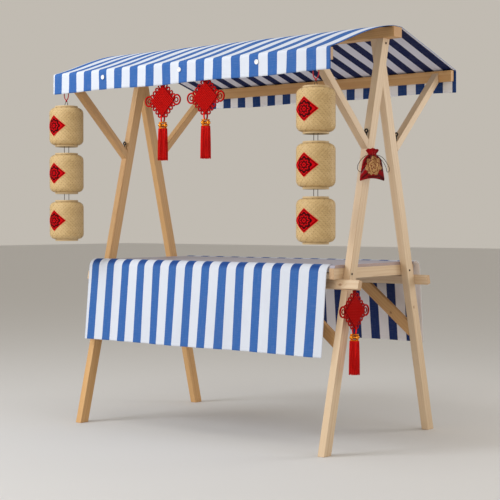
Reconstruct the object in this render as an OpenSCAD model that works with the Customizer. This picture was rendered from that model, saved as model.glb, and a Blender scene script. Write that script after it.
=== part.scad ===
// Wooden market stall: two A-frames under a ridge beam, a striped sheet for a roof, a table between
// the frames with a striped cloth front and back, and hanging lanterns, knots and a pouch.
// X runs along the stall, Y from the front to the back, and Z up from the floor. The origin is on the
// floor, below the middle of the ridge beam.

/* [Frame] */
// Distance between the outer faces of the two front legs
frame_w = 1650; // [1500:10:2000]
// Distance between the middles of the front and back feet
foot_spread = 979; // [900:1:1080]
// Height of the legs, to the underside of the ridge beam
leg_h = 1980; // [1900:10:2100]
// Thickness of a leg, along the stall
leg_t = 38; // [34:1:46]
// Width of a leg, across its slope
leg_w = 56; // [50:1:64]

/* [Roof] */
// Length of the ridge beam
ridge_len = 1818; // [1760:2:1900]
// Width of the ridge beam
ridge_w = 72; // [64:1:80]
// Height of the ridge beam
ridge_h = 50; // [40:1:60]
// Length of an eave beam
eave_len = 1800; // [1740:2:1880]
// Distance from the middle of the stall to the outer face of an eave beam
eave_out = 584; // [560:1:600]
// Height of an eave beam's top
eave_top = 1873; // [1850:1:1890]
// Thickness of an eave beam
eave_t = 28; // [22:1:34]
// Height of an eave beam
eave_h = 57; // [50:1:66]
// Width of a roof brace
brace_w = 40; // [34:1:46]
// Slope of a roof brace above the level
brace_slope = 43.5; // [40:0.5:48]
// Distance from an eave beam's top to where a brace's middle line meets it
brace_drop = 38; // [30:1:44]

/* [Table] */
// Height of a rail's lower inner edge
rail_z = 764; // [720:1:800]
// Length of a rail
rail_len = 1802; // [1740:2:1880]
// Thickness of a rail
rail_t = 28; // [22:1:34]
// Height of a rail, along the slope of the legs
rail_h = 45; // [38:1:52]
// Length of a table end
end_len = 790; // [740:1:820]
// Thickness of a table end
end_t = 28; // [22:1:34]
// Height of a table end
end_h = 52; // [44:1:60]
// Depth of the tabletop, from front to back
top_d = 780; // [740:1:810]
// Thickness of the tabletop
top_t = 15; // [12:1:20]
// Rounding of the tabletop's front and back edges
top_round = 14; // [8:1:14]
// Thickness of a knee brace
knee_t = 28; // [22:1:32]
// Width of a knee brace
knee_w = 54; // [44:1:60]
// Slope of a knee brace above the level
knee_slope = 39; // [34:0.5:44]
// Drop from the front rail to where a knee brace's upper edge meets the leg
knee_drop_front = 226; // [190:1:260]
// Drop from the back rail to where a knee brace's upper edge meets the leg
knee_drop_back = 195; // [160:1:230]

/* [Cloths] */
// Thickness of the roof sheet and the table cloths
cloth_t = 3; // [2:0.5:4]
// Length of the roof sheet, along the stall
canopy_len = 1820; // [1780:2:1900]
// Gap between an eave beam and the hanging edge of the roof sheet
valance_gap = 7; // [4:1:12]
// Height of the front hanging edge's hem
valance_z_front = 1768; // [1740:1:1800]
// Height of the back hanging edge's hem
valance_z_back = 1760; // [1740:1:1800]
// Rise of the front roof slope above a straight line
canopy_bulge = 16; // [0:1:24]
// Length of the front cloth, along the stall
front_cloth_len = 1584; // [1500:2:1640]
// Place of the front cloth's middle, along the stall
front_cloth_x = -13; // [-60:1:60]
// Length of the back cloth, along the stall
back_cloth_len = 1584; // [1500:2:1640]
// Place of the back cloth's middle, along the stall
back_cloth_x = 13; // [-60:1:60]
// Width of the strip of cloth that lies on the tabletop
cloth_lap = 40; // [38:1:80]
// Distance that a cloth's fold stands out beyond the table's edge
cloth_out = 22; // [20:1:30]
// Height of the front cloth's hem
front_hem_z = 450; // [400:1:500]
// Height of the back cloth's hem
back_hem_z = 460; // [400:1:500]
// Distance that a cloth's hem stands out beyond the table's edge
hem_out = 58; // [50:1:70]
// Diameter of a roof sheet button
button_d = 24; // [18:1:30]
// Height of the buttons' middles above the front hem
button_up = 66; // [50:1:76]

/* [Lanterns] */
// Diameter of a lantern
lantern_d = 180; // [160:2:200]
// Height of a lantern
lantern_h = 218; // [200:2:228]
// Diameter of a lantern's mouths
lantern_mouth = 122; // [100:2:136]
// Height of a lantern's rims
lantern_rim = 10; // [6:1:14]
// Wall of a lantern
lantern_wall = 3; // [2:0.5:4]
// Distance from one lantern's middle to the next
lantern_step = 251; // [240:1:270]
// Height of the top lanterns' middles
lantern_z = 1593; // [1560:1:1600]
// Distance of the lantern strings from the point midway between them
lantern_x = 824; // [800:1:850]
// Place of the point midway between the lantern strings, along the stall
lantern_mid_x = 9; // [-20:1:20]
// Diameter of the sticks across a lantern's mouths
stick_d = 5; // [4:0.5:6]
// Diameter of the looped cord that holds each string of lanterns
loop_cord_d = 5; // [4:0.5:6]
// Width of that loop, between the middles of its two strands
loop_cord_w = 36; // [30:1:44]
// Height of the loop's foot above the top lantern
loop_cord_up = 16; // [12:1:22]
// Diameter of the thin cords between the lanterns
lantern_cord_d = 3; // [2.5:0.5:4]
// Distance between the two thin cords at a stick
link_gap = 32; // [24:1:44]

/* [Knots] */
// Distance of the two upper knots from the point midway between them
knot_x = 142; // [120:1:200]
// Place of the point midway between the upper knots, along the stall
knot_mid_x = 28; // [-60:1:60]
// Side of a knot's woven middle
knot_side = 108; // [96:1:116]
// Distance from one small loop along a knot's edge to the next
loop_step = 24.5; // [22:0.5:25.5]
// Width of a small loop
loop_w = 20; // [18:0.5:21]
// Distance that a small loop stands out from the knot's edge
loop_out = 27; // [22:1:30]
// Diameter of the outer ring of a knot's ear
ear_d = 56; // [50:1:62]
// Diameter of the inner ring of a knot's ear
ear_in_d = 34; // [30:1:38]
// Thickness of a knot
knot_t = 14; // [10:1:18]
// Diameter of a knot's cord
knot_cord_d = 5.5; // [4:0.5:7]
// Height of the upper knots' middles
knot_z = 1691; // [1660:1:1700]
// Height of the low knot's middle
low_knot_z = 668; // [650:1:680]
// Distance from a knot's corner down to the middle of its beads
bead_drop = 47; // [40:1:56]
// Diameter of a bead
bead_d = 22; // [19:1:26]
// Distance between the middles of a pair of beads
bead_step = 29; // [26:1:31]
// Diameter of the small bead between a pair
mid_bead_d = 13; // [11:1:15]
// Height of the gold bands above and below the beads
band_h = 6.5; // [5:0.5:9]
// Width of those bands
band_w = 36; // [32:1:42]
// Distance between the middles of a pair of tassels
tassel_step = 22; // [20:1:26]
// Length of a tassel's strands
tassel_len = 160; // [130:2:200]
// Width of a tassel at its foot
tassel_d = 28; // [24:1:32]
// Width of a tassel at its head
tassel_top_d = 21; // [18:1:24]
// Turn of the beads and tassels from facing along the stall's front
tassel_turn = 40; // [30:1:50]

/* [Pouch] */
// Height of the pouch, with its frill
pouch_h = 160; // [140:2:180]
// Width of the pouch at its foot
pouch_w = 118; // [100:1:130]
// Thickness of the filled pouch
pouch_t = 36; // [30:1:42]
// Height of the pouch's foot
pouch_z = 1276; // [1240:1:1300]
// Distance of the pouch's middle from the side of the right front leg
pouch_out = 40; // [36:1:48]
// Turn of the pouch from facing along the stall's end
pouch_turn = 51; // [40:1:60]
// Diameter of the pouch's drawstring
drawstring_d = 2.6; // [2.2:0.2:3.4]

/* [Fittings] */
// Outer diameter of a screw eye
eye_d = 21; // [16:1:26]
// Diameter of a screw eye's wire
eye_wire = 4; // [3:0.5:5]
// Height of a screw eye's middle above the joint that it stands in
eye_up = 42; // [34:1:50]

/* [Hidden] */

PINE = [0.84, 0.70, 0.50];
BOARD = [0.62, 0.60, 0.64];
STRIPE = [0.24, 0.42, 0.74];
BAMBOO = [0.79, 0.67, 0.46];
RED = [0.80, 0.05, 0.05];
GOLD = [0.85, 0.62, 0.20];
WINE = [0.50, 0.04, 0.07];
BLACK = [0.12, 0.09, 0.08];
STEEL = [0.10, 0.10, 0.11];
WHITE = [0.93, 0.93, 0.93];

// Front and back, left and right
FRONT = -1;
BACK = 1;
LEFT = -1;
RIGHT = 1;

// Smallest gap between a cloth and what it lies on
skin = 0.5;

// Legs: lean from upright, half the level cut, and how far a leg's outer face is out at a height
foot_y = foot_spread / 2;
lean = atan(foot_y / leg_h);
leg_half = leg_w / cos(lean) / 2;
function leg_outer(z) = foot_y + leg_half - z * tan(lean);
function leg_inner(z) = foot_y - leg_half - z * tan(lean);

// The back leg of each A-frame lies against the left side of its front leg, so what stands at the
// front is half a leg's thickness to the right of the middle, and what stands at the back to the left
function side_x(side) = side == FRONT ? leg_t / 2 : -leg_t / 2;
leg_x = (frame_w - leg_t) / 2;
inner_x = frame_w / 2 - leg_t;

// Roof lines: the slope that rests on the ridge beam and on an eave beam's outer corner
ridge_top = leg_h + ridge_h;
eave_in = eave_out - eave_t;
eave_y = eave_out - eave_t / 2;
eave_under = eave_top - eave_h;
eave_rest = ridge_top > eave_top ? eave_out : eave_in;
roof_slope = atan((ridge_top - eave_top) / (eave_rest - ridge_w / 2));

// Rails lie flat on the legs' outer faces, so their section leans with the legs
rail_y = leg_outer(rail_z);
rail_top = rail_z + rail_h * cos(lean) + rail_t * sin(lean);

// Table ends run past the inner side of one leg and on to the next, so they turn a little in plan
end_z = rail_top;
top_z = end_z + end_h;
table_z = top_z + top_t;
end_outer = leg_outer(end_z);
end_inner = leg_inner(table_z);
end_turn = atan(leg_t / (end_outer + end_inner));
function end_pivot(end) =
    [end * inner_x + side_x(FRONT), end == RIGHT ? -end_outer : -end_inner];
function end_face_x(end, y) = end_pivot(end)[0] - (y - end_pivot(end)[1]) * tan(end_turn);
table_y = top_d / 2;
edge_round = min(top_round, top_t - 1);

// Lantern strings hang from the middle of the front eave beam
shoulder = (lantern_d - lantern_mouth) / 2;
bar_z = lantern_h / 2 - lantern_rim / 2;
loop_foot_z = lantern_z + lantern_h / 2 + loop_cord_up;

// Knots: small loops along the edges, double ears at the sides, and the beads below. The low knot
// hangs from the front rail between the leg and the rail's end, turned to face along the stall
knot_reach = knot_side / sqrt(2);
bead_z = -knot_reach - bead_drop;
band_z = bead_d / 2 - 1;
bead_top_z = bead_z + band_z + band_h;
bead_under_z = bead_z - band_z - band_h;
low_knot_x = rail_len / 2 + side_x(FRONT) - 28;
low_knot_y = -(rail_y + rail_t / 2);
low_top_z = rail_z + (rail_t / 2 - knot_cord_d) * sin(lean);
upper_turn = tassel_turn;
low_turn = tassel_turn - 90;

// Pouch: it hangs at the outer corner of the right frame's front leg
pouch_x = frame_w / 2 + side_x(FRONT) + pouch_out;
pouch_y = -leg_outer(pouch_z + 0.45 * pouch_h);
neck_share = 0.78;
neck_w = pouch_w * 0.33;
frill_w = pouch_w * 0.5;

// Drawstring: its two loops come out of the pouch's neck at the sides and go back in. The points are
// out from the pouch's middle, across it and up from its foot
LEFT_LOOP = [
    [9.5, -15.5, 125], [11, -19, 125], [13.5, -25, 124], [15, -31, 122], [15, -36.5, 119],
    [14.5, -42, 115], [13.5, -47, 111], [12.5, -51.5, 106.5], [11.5, -55.5, 101.5], [10, -59.5, 96],
    [8, -62.5, 90.5], [6.5, -65.5, 85], [4.5, -68, 79.5], [3, -69.5, 73], [0.5, -70, 67],
    [-1.5, -69.5, 61], [-4, -67, 55], [-6, -63, 50.5], [-8, -58, 47.5], [-11, -52, 47.5],
    [-13.5, -47, 51], [-15.5, -43.5, 56], [-16.5, -41.5, 62.5], [-17, -39, 68.5], [-17.5, -36.5, 74.5],
    [-18, -34.5, 80.5], [-18, -31.5, 86.5], [-18, -29, 92.5], [-17.5, -26, 98.5], [-17, -23, 104],
    [-15.5, -19.5, 109.5], [-13, -15.5, 116]
];
RIGHT_LOOP = [
    [9.5, 15.5, 125], [12, 21, 125.5], [13.5, 26.5, 124.5], [14, 32.5, 122.5], [14, 38, 120],
    [14, 43, 117], [13.5, 48, 113.5], [13, 52.5, 109.5], [12.5, 56.5, 105], [12, 60, 100],
    [11, 63.5, 95], [10.5, 67, 90], [10.5, 70, 85], [10, 73.5, 80], [9.5, 76, 74.5], [9, 78.5, 69],
    [9, 80.5, 63.5], [9, 81.5, 57.5], [8.5, 80.5, 51.5], [8, 77.5, 46], [7.5, 72.5, 45],
    [7, 68.5, 49.5], [6.5, 67.5, 56.5], [6.5, 66.5, 63], [6, 64.5, 68.5], [6, 62, 74], [5.5, 59.5, 79.5],
    [5, 57, 85], [5, 53.5, 90], [4.5, 50, 95], [3.5, 46.5, 100], [3, 42.5, 104.5], [2, 38.5, 109],
    [1, 34.5, 113], [-0.5, 30, 117], [-1.5, 25, 120], [-3, 20, 123]
];

// Things modelled at the back are mirrored to stand at the front
module at_side(side) {
    translate([side_x(side), 0, 0])
        mirror([0, side == FRONT ? 1 : 0, 0])
            children();
}

// An outline drawn in Y and Z, drawn out along X from x
module along_x(x, length) {
    translate([x, 0, 0])
        rotate([90, 0, 90])
            linear_extrude(length)
                children();
}

// An outline drawn in X and Z, drawn out towards the back from y
module along_y(y, length) {
    translate([0, y + length, 0])
        rotate([90, 0, 0])
            linear_extrude(length)
                children();
}

// A straight round rod between two points
module rod(from, to, d) {
    run = to - from;
    translate(from)
        rotate([0, acos(run[2] / norm(run)), atan2(run[1], run[0])])
            cylinder(h = norm(run), d = d, $fn = 16);
}

// A strip of even thickness whose outer side follows a path, with its thickness to the path's right
function turn_right(v) = [v[1], -v[0]] / norm(v);
function path_normal(p, i) =
    turn_right(p[min(i + 1, len(p) - 1)] - p[max(i - 1, 0)]);
function inner_path(p, t) = [for (i = [len(p) - 1:-1:0]) p[i] + path_normal(p, i) * t];
module strip(path, t) {
    polygon(concat(path, inner_path(path, t)));
}

module leg(end, side) {
    color(PINE)
        at_side(side)
            along_x(end * leg_x - leg_t / 2, leg_t)
                polygon([
                    [foot_y - leg_half, 0],
                    [foot_y + leg_half, 0],
                    [leg_half, leg_h],
                    [-leg_half, leg_h]
                ]);
}

module ridge_beam() {
    color(PINE)
        translate([-ridge_len / 2, -ridge_w / 2, leg_h])
            cube([ridge_len, ridge_w, ridge_h]);
}

module eave_beam(side) {
    color(PINE)
        at_side(side)
            translate([-eave_len / 2, eave_in, eave_under])
                cube([eave_len, eave_t, eave_h]);
}

// Height at which a brace's edge, a given height at the eave beam, meets the leg's outer face
function brace_foot_z(edge_z) =
    (edge_z - (eave_in - leg_outer(0)) * tan(brace_slope)) / (1 + tan(lean) * tan(brace_slope));
brace_half = brace_w / cos(brace_slope) / 2;
brace_high = eave_top - brace_drop + brace_half;
brace_low = brace_high - 2 * brace_half;
crotch_z = brace_foot_z(brace_high);

module roof_brace(end, side) {
    foot_high = brace_foot_z(brace_high);
    foot_low = brace_foot_z(brace_low);
    color(PINE)
        at_side(side)
            along_x(end * leg_x - leg_t / 2, leg_t)
                polygon([
                    [eave_in, brace_low],
                    [eave_in, brace_high],
                    [leg_outer(foot_high), foot_high],
                    [leg_outer(foot_low), foot_low]
                ]);
}

module table_rail(side) {
    color(PINE)
        at_side(side)
            translate([-rail_len / 2, rail_y, rail_z])
                rotate([lean, 0, 0])
                    cube([rail_len, rail_t, rail_h]);
}

module table_end(end) {
    pivot = end_pivot(end);
    color(PINE)
        translate([pivot[0], pivot[1], end_z])
            rotate([0, 0, end_turn])
                translate([end == RIGHT ? -end_t : 0, -end_len / 2 - pivot[1], 0])
                    cube([end_t, end_len, end_h]);
}

// The tabletop's outline in plan, cut to a section with rounded upper corners
module tabletop() {
    corner_y = table_y - edge_round;
    corner_z = table_z - edge_round;
    color(BOARD)
        intersection() {
            translate([0, 0, top_z])
                linear_extrude(top_t)
                    polygon([
                        [end_face_x(LEFT, -table_y), -table_y],
                        [end_face_x(RIGHT, -table_y), -table_y],
                        [end_face_x(RIGHT, table_y), table_y],
                        [end_face_x(LEFT, table_y), table_y]
                    ]);
            along_x(-frame_w, 2 * frame_w)
                polygon(concat(
                    [[-table_y - top_t, top_z - top_t], [table_y + top_t, top_z - top_t]],
                    [[table_y + top_t, corner_z], [table_y, corner_z]],
                    [for (a = [9:9:81]) [corner_y + edge_round * cos(a), corner_z + edge_round * sin(a)]],
                    [[corner_y, table_z], [-corner_y, table_z]],
                    [for (a = [99:9:171]) [-corner_y + edge_round * cos(a), corner_z + edge_round * sin(a)]],
                    [[-table_y, corner_z], [-table_y - top_t, corner_z]]
                ));
        }
}

// A knee brace runs from the rail's underside to the inner side of the leg
module knee_brace(end, side) {
    drop = knee_w / cos(knee_slope);
    over = rail_t;
    knee_drop = side == FRONT ? knee_drop_front : knee_drop_back;
    high = rail_z - knee_drop;
    color(PINE)
        at_side(side)
            difference() {
                along_y(rail_y, knee_t)
                    polygon([
                        [end * inner_x, high],
                        [end * inner_x, high - drop],
                        [end * (inner_x - (knee_drop + drop + over) / tan(knee_slope)), rail_z + over],
                        [end * (inner_x - (knee_drop + over) / tan(knee_slope)), rail_z + over]
                    ]);
                translate([-frame_w, rail_y, rail_z])
                    rotate([lean, 0, 0])
                        translate([0, -rail_t, 0])
                            cube([2 * frame_w, 4 * rail_t, 4 * rail_t]);
            }
}

// Screw eyes stand in the joints between the legs and the roof braces
module screw_eye(end, side) {
    at_side(side)
        translate([end * leg_x, leg_outer(crotch_z) + eye_wire, crotch_z]) {
            translate([0, 0, eye_up])
                rotate([90, 0, 0])
                    rotate_extrude($fn = 24)
                        translate([(eye_d - eye_wire) / 2, 0])
                            circle(d = eye_wire, $fn = 16);
            cylinder(h = eye_up - eye_d / 2 + eye_wire / 2, d = eye_wire, $fn = 16);
        }
}

module screw_eyes() {
    color(STEEL)
        for (end = [LEFT, RIGHT])
            for (side = [FRONT, BACK])
                screw_eye(end, side);
}

// Roof sheet: one half of its section, from the hem up to the ridge beam's edge
fold_r = 14;
button_places = [-514, 19, 507];
valance_y = eave_out + valance_gap + cloth_t;
slope_n = [sin(roof_slope), cos(roof_slope)];
eave_edge = [eave_rest, eave_top] + slope_n * (cloth_t + skin);
ridge_edge = [ridge_w / 2, ridge_top + (cloth_t + skin) / cos(roof_slope)];
fold_y = valance_y - fold_r;
fold_z = (eave_edge * slope_n - fold_r - fold_y * slope_n[0]) / slope_n[1];
fold_end = [fold_y, fold_z] + slope_n * fold_r;
function rise(s) = 6.75 * s * (1 - s) * (1 - s);
function canopy_half(hem_z, bulge) = concat(
    [[valance_y, hem_z]],
    [for (a = [0:15:75]) [fold_y + fold_r * cos(a), fold_z + fold_r * sin(a)]],
    [for (s = [0.9:-0.1:0.05]) ridge_edge + (fold_end - ridge_edge) * s + [0, bulge * rise(s)]],
    [ridge_edge]
);
function to_front(p) = [for (q = p) [-q[0], q[1]]];
function reversed(p) = [for (i = [len(p) - 1:-1:0]) p[i]];

// Its ends run askew, because the back legs stand a leg's thickness to the left of the front ones
module canopy() {
    half = canopy_len / 2;
    skew = side_x(FRONT) * valance_y / eave_y;
    color(STRIPE)
        intersection() {
            along_x(-canopy_len, 2 * canopy_len)
                strip(concat(
                    to_front(canopy_half(valance_z_front, canopy_bulge)),
                    reversed(canopy_half(valance_z_back, 0))
                ), cloth_t);
            linear_extrude(2 * ridge_top)
                polygon([
                    [-half + skew, -valance_y - skin],
                    [half + skew, -valance_y - skin],
                    [half - skew, valance_y + skin],
                    [-half - skew, valance_y + skin]
                ]);
        }
}

module canopy_buttons() {
    thick = 4;
    color(WHITE)
        for (x = button_places)
            translate([x, -valance_y, valance_z_front + button_up])
                rotate([90, 0, 0])
                    cylinder(h = thick, d = button_d, $fn = 32);
}

// Table cloth: a strip on the tabletop, with a wide round fold over the edge, down to the hem
module table_cloth(side, middle, length, hem_z) {
    fold = cloth_out + edge_round;
    rest_z = table_z + skin + cloth_t;
    edge_y = table_y + cloth_out;
    path = concat(
        [[-table_y + cloth_lap, rest_z]],
        [for (a = [90:10:180]) [-edge_y + fold + fold * cos(a), rest_z - fold + fold * sin(a)]],
        [[-table_y - hem_out, hem_z]]
    );
    color(STRIPE)
        mirror([0, side == BACK ? 1 : 0, 0])
            along_x(middle - length / 2, length)
                strip(reversed(path), cloth_t);
}

module cloth_front() {
    table_cloth(FRONT, front_cloth_x, front_cloth_len, front_hem_z);
}

module cloth_back() {
    table_cloth(BACK, back_cloth_x, back_cloth_len, back_hem_z);
}

// Lantern: a woven shell, open above and below, with a stick across each mouth
function shoulder_arc(z, from, to) =
    [for (a = [from:15:to]) [lantern_mouth / 2 + shoulder * cos(a), z + shoulder * sin(a)]];
module lantern(end, level) {
    straight = lantern_h / 2 - lantern_rim - shoulder;
    path = concat(
        [[lantern_mouth / 2, -lantern_h / 2]],
        shoulder_arc(-straight, -90, 0),
        shoulder_arc(straight, 0, 90),
        [[lantern_mouth / 2, lantern_h / 2]]
    );
    color(BAMBOO)
        translate([lantern_mid_x + end * lantern_x, -eave_y, lantern_z - level * lantern_step]) {
            rotate_extrude($fn = 48)
                strip(reversed(path), lantern_wall);
            for (z = [-bar_z, bar_z])
                translate([0, -lantern_mouth / 2 + lantern_wall / 2, z])
                    rotate([-90, 0, 0])
                        cylinder(h = lantern_mouth - lantern_wall, d = stick_d, $fn = 16);
        }
}

// A looped cord under the eave beam holds two thin cords from the top lantern's stick, and two thin
// cords run from each lantern to the next
module lantern_cord(end) {
    bend = loop_cord_w / 2;
    bend_z = loop_foot_z + bend;
    strand_d = loop_cord_d + 0.4;
    color(RED)
        translate([lantern_mid_x + end * lantern_x, -eave_y, 0]) {
            intersection() {
                translate([0, 0, bend_z])
                    rotate([90, 0, 0])
                        rotate_extrude($fn = 48)
                            translate([bend, 0])
                                circle(d = loop_cord_d, $fn = 16);
                translate([-2 * bend, -loop_cord_d, loop_foot_z - loop_cord_d])
                    cube([4 * bend, 2 * loop_cord_d, bend + loop_cord_d]);
            }
            for (way = [-1, 1]) {
                translate([way * bend, 0, bend_z - 1])
                    cylinder(h = eave_under - bend_z + 1, d = strand_d, $fn = 16);
                rod([0, way * link_gap / 2, lantern_z + bar_z], [0, 0, loop_foot_z], lantern_cord_d);
                for (level = [0, 1])
                    translate([0, way * link_gap / 2, lantern_z - (level + 1) * lantern_step + bar_z])
                        cylinder(h = lantern_step - 2 * bar_z, d = lantern_cord_d, $fn = 16);
            }
        }
}

// Knot: a square of woven cord on its corner, with open loops along its edges and a double ear at
// each side, drawn in X and Z about its middle
module disc(d) {
    sides = 20;
    polygon([for (i = [0:sides - 1]) [cos(i * 360 / sides), sin(i * 360 / sides)] * d / 2]);
}

module ring(d, wire) {
    difference() {
        disc(d);
        disc(d - 2 * wire);
    }
}

// A loop that stands out along X from the knot's edge: two strands and a half round
module edge_loop() {
    bend = loop_w / 2;
    bend_in = bend - knot_cord_d;
    arc = [for (a = [-90:18:90]) [cos(a), sin(a)]];
    middle = [loop_out - bend, 0];
    translate([knot_side / 2, 0])
        difference() {
            polygon(concat([[-bend, -bend]], [for (p = arc) middle + p * bend], [[-bend, bend]]));
            polygon(concat([[1, -bend_in]], [for (p = arc) middle + p * bend_in], [[1, bend_in]]));
        }
}

module knot_outline() {
    tip_d = loop_w + knot_cord_d;
    rotate(45)
        square(knot_side, center = true);
    for (turn = [0:90:270])
        rotate(turn + 45)
            for (i = [-1.5:1:1.5])
                translate([0, i * loop_step])
                    edge_loop();
    for (way = [-1, 1]) {
        translate([0, way * (knot_reach - knot_cord_d)])
            disc(tip_d);
        translate([way * (knot_reach - 2 * knot_cord_d + ear_d / 2), 0])
            ring(ear_d, knot_cord_d);
        translate([way * (knot_reach - knot_cord_d / 2 + ear_in_d / 2), 0])
            ring(ear_in_d, knot_cord_d);
    }
}

// The knot with the two cords that it hangs from and two that run down to its beads, which are
// turned about the upright
module knot(top_z, turn) {
    color(RED) {
        along_y(-knot_t / 2, knot_t)
            knot_outline();
        for (way = [-1, 1]) {
            translate([way * knot_cord_d * 0.45, 0, knot_reach / 2])
                cylinder(h = top_z - knot_reach / 2, d = knot_cord_d, $fn = 16);
            rod([way * knot_cord_d * 0.45, 0, -knot_reach * 0.9],
                [way * bead_d / 2 * cos(turn), way * bead_d / 2 * sin(turn), bead_top_z],
                knot_cord_d * 0.8);
        }
    }
}

// A flat oval band of gold, about the upright
module band(z) {
    translate([0, 0, z])
        linear_extrude(band_h)
            polygon([for (a = [0:12:348]) [band_w / 2 * cos(a), bead_d * 0.42 * sin(a)]]);
}

module bead(x, d) {
    translate([x, 0, bead_z])
        rotate([0, 0, 90])
            sphere(d = d, $fn = 32);
}

// A pair of beads side by side with a small one between, under a band and over another
module beads(turn) {
    color(GOLD)
        rotate([0, 0, turn]) {
            bead(-bead_step / 2, bead_d);
            bead(bead_step / 2, bead_d);
            bead(0, mid_bead_d);
            band(bead_z + band_z);
            band(bead_under_z);
        }
}

module tassels(turn) {
    color(RED)
        rotate([0, 0, turn])
            for (way = [-1, 1])
                translate([way * tassel_step / 2, 0, bead_under_z - tassel_len])
                    cylinder(h = tassel_len, d1 = tassel_d, d2 = tassel_top_d, $fn = 32);
}

// The two upper knots hang from the front eave beam, and the low one from the front rail's right end
module hung_knot(way) {
    translate([knot_mid_x + way * knot_x, -eave_y, knot_z])
        knot(eave_under - knot_z, upper_turn);
}

module hung_beads(way) {
    translate([knot_mid_x + way * knot_x, -eave_y, knot_z])
        beads(upper_turn);
}

module hung_tassels(way) {
    translate([knot_mid_x + way * knot_x, -eave_y, knot_z])
        tassels(upper_turn);
}

module at_low_knot() {
    translate([low_knot_x, low_knot_y, low_knot_z])
        rotate([0, 0, 90])
            children();
}

module knot_low() {
    at_low_knot()
        knot(low_top_z - low_knot_z, low_turn);
}

module beads_low() {
    at_low_knot()
        beads(low_turn);
}

module tassel_low() {
    at_low_knot()
        tassels(low_turn);
}

// Pouch: flat at its foot, full in its middle, drawn in at the neck and spread in a frill
module pouch_slice(z, w, t) {
    translate([0, 0, z * pouch_h])
        linear_extrude(1)
            hull()
                for (way = [-1, 1])
                    translate([0, way * (w - t) / 2])
                        circle(d = t, $fn = 24);
}

module at_pouch() {
    translate([pouch_x, pouch_y, pouch_z])
        rotate([0, 0, -pouch_turn])
            children();
}

module pouch() {
    neck_t = neck_w * 0.7;
    color(WINE)
        at_pouch() {
            hull() {
                pouch_slice(0, pouch_w, pouch_t * 0.3);
                pouch_slice(0.22, pouch_w * 0.9, pouch_t);
                pouch_slice(0.5, pouch_w * 0.76, pouch_t * 0.9);
                pouch_slice(neck_share, neck_w, neck_t);
            }
            hull() {
                pouch_slice(neck_share, neck_w, neck_t);
                pouch_slice(1 - 1 / pouch_h, frill_w, neck_t);
            }
        }
}

// A thin cord: rings of points across its path, each ring's first direction carried on from the
// last one's, joined by triangles and closed by a fan at each end
function unit(v) = v / norm(v);
function heading(p, i) = unit(p[min(i + 1, len(p) - 1)] - p[max(i - 1, 0)]);
function square_to(v, t) = unit(v - t * (v * t));
function sides_along(p, i, last) =
    i == len(p) ? [] :
    let (now = square_to(last, heading(p, i)))
    concat([now], sides_along(p, i + 1, now));

module cord(p, d) {
    n = 8;
    across = sides_along(p, 0, [0, 0, 1]);
    points = [
        for (i = [0:len(p) - 1])
            for (k = [0:n - 1])
                let (a = k * 360 / n)
                p[i] + d / 2 * (cos(a) * across[i] + sin(a) * cross(heading(p, i), across[i]))
    ];
    walls = [
        for (i = [0:len(p) - 2])
            for (k = [0:n - 1])
                let (a = i * n + k, b = i * n + (k + 1) % n)
                each [[a, a + n, b], [b, a + n, b + n]]
    ];
    last = (len(p) - 1) * n;
    ends = [for (k = [1:n - 2]) each [[0, k, k + 1], [last, last + k + 1, last + k]]];
    polyhedron(points, concat(walls, ends));
}

module drawstring(points) {
    color(BLACK)
        at_pouch()
            cord(points, drawstring_d);
}

module drawstring_left() {
    drawstring(LEFT_LOOP);
}

module drawstring_right() {
    drawstring(RIGHT_LOOP);
}

leg(LEFT, FRONT);  // leg_front_left
leg(RIGHT, FRONT);  // leg_front_right
leg(LEFT, BACK);  // leg_back_left
leg(RIGHT, BACK);  // leg_back_right
ridge_beam();
eave_beam(FRONT);  // eave_beam_front
eave_beam(BACK);  // eave_beam_back
roof_brace(LEFT, FRONT);  // roof_brace_front_left
roof_brace(RIGHT, FRONT);  // roof_brace_front_right
roof_brace(LEFT, BACK);  // roof_brace_back_left
roof_brace(RIGHT, BACK);  // roof_brace_back_right
table_rail(FRONT);  // table_rail_front
table_rail(BACK);  // table_rail_back
table_end(LEFT);  // table_end_left
table_end(RIGHT);  // table_end_right
tabletop();
knee_brace(LEFT, FRONT);  // knee_brace_front_left
knee_brace(RIGHT, FRONT);  // knee_brace_front_right
knee_brace(LEFT, BACK);  // knee_brace_back_left
knee_brace(RIGHT, BACK);  // knee_brace_back_right
screw_eyes();
canopy();
canopy_buttons();
cloth_front();
cloth_back();
lantern(LEFT, 0);  // lantern_left_top
lantern(LEFT, 1);  // lantern_left_middle
lantern(LEFT, 2);  // lantern_left_bottom
lantern(RIGHT, 0);  // lantern_right_top
lantern(RIGHT, 1);  // lantern_right_middle
lantern(RIGHT, 2);  // lantern_right_bottom
lantern_cord(LEFT);  // lantern_cord_left
lantern_cord(RIGHT);  // lantern_cord_right
hung_knot(LEFT);  // knot_left
hung_knot(RIGHT);  // knot_right
knot_low();
hung_beads(LEFT);  // beads_left
hung_beads(RIGHT);  // beads_right
beads_low();
hung_tassels(LEFT);  // tassel_left
hung_tassels(RIGHT);  // tassel_right
tassel_low();
pouch();
drawstring_left();
drawstring_right();
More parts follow.
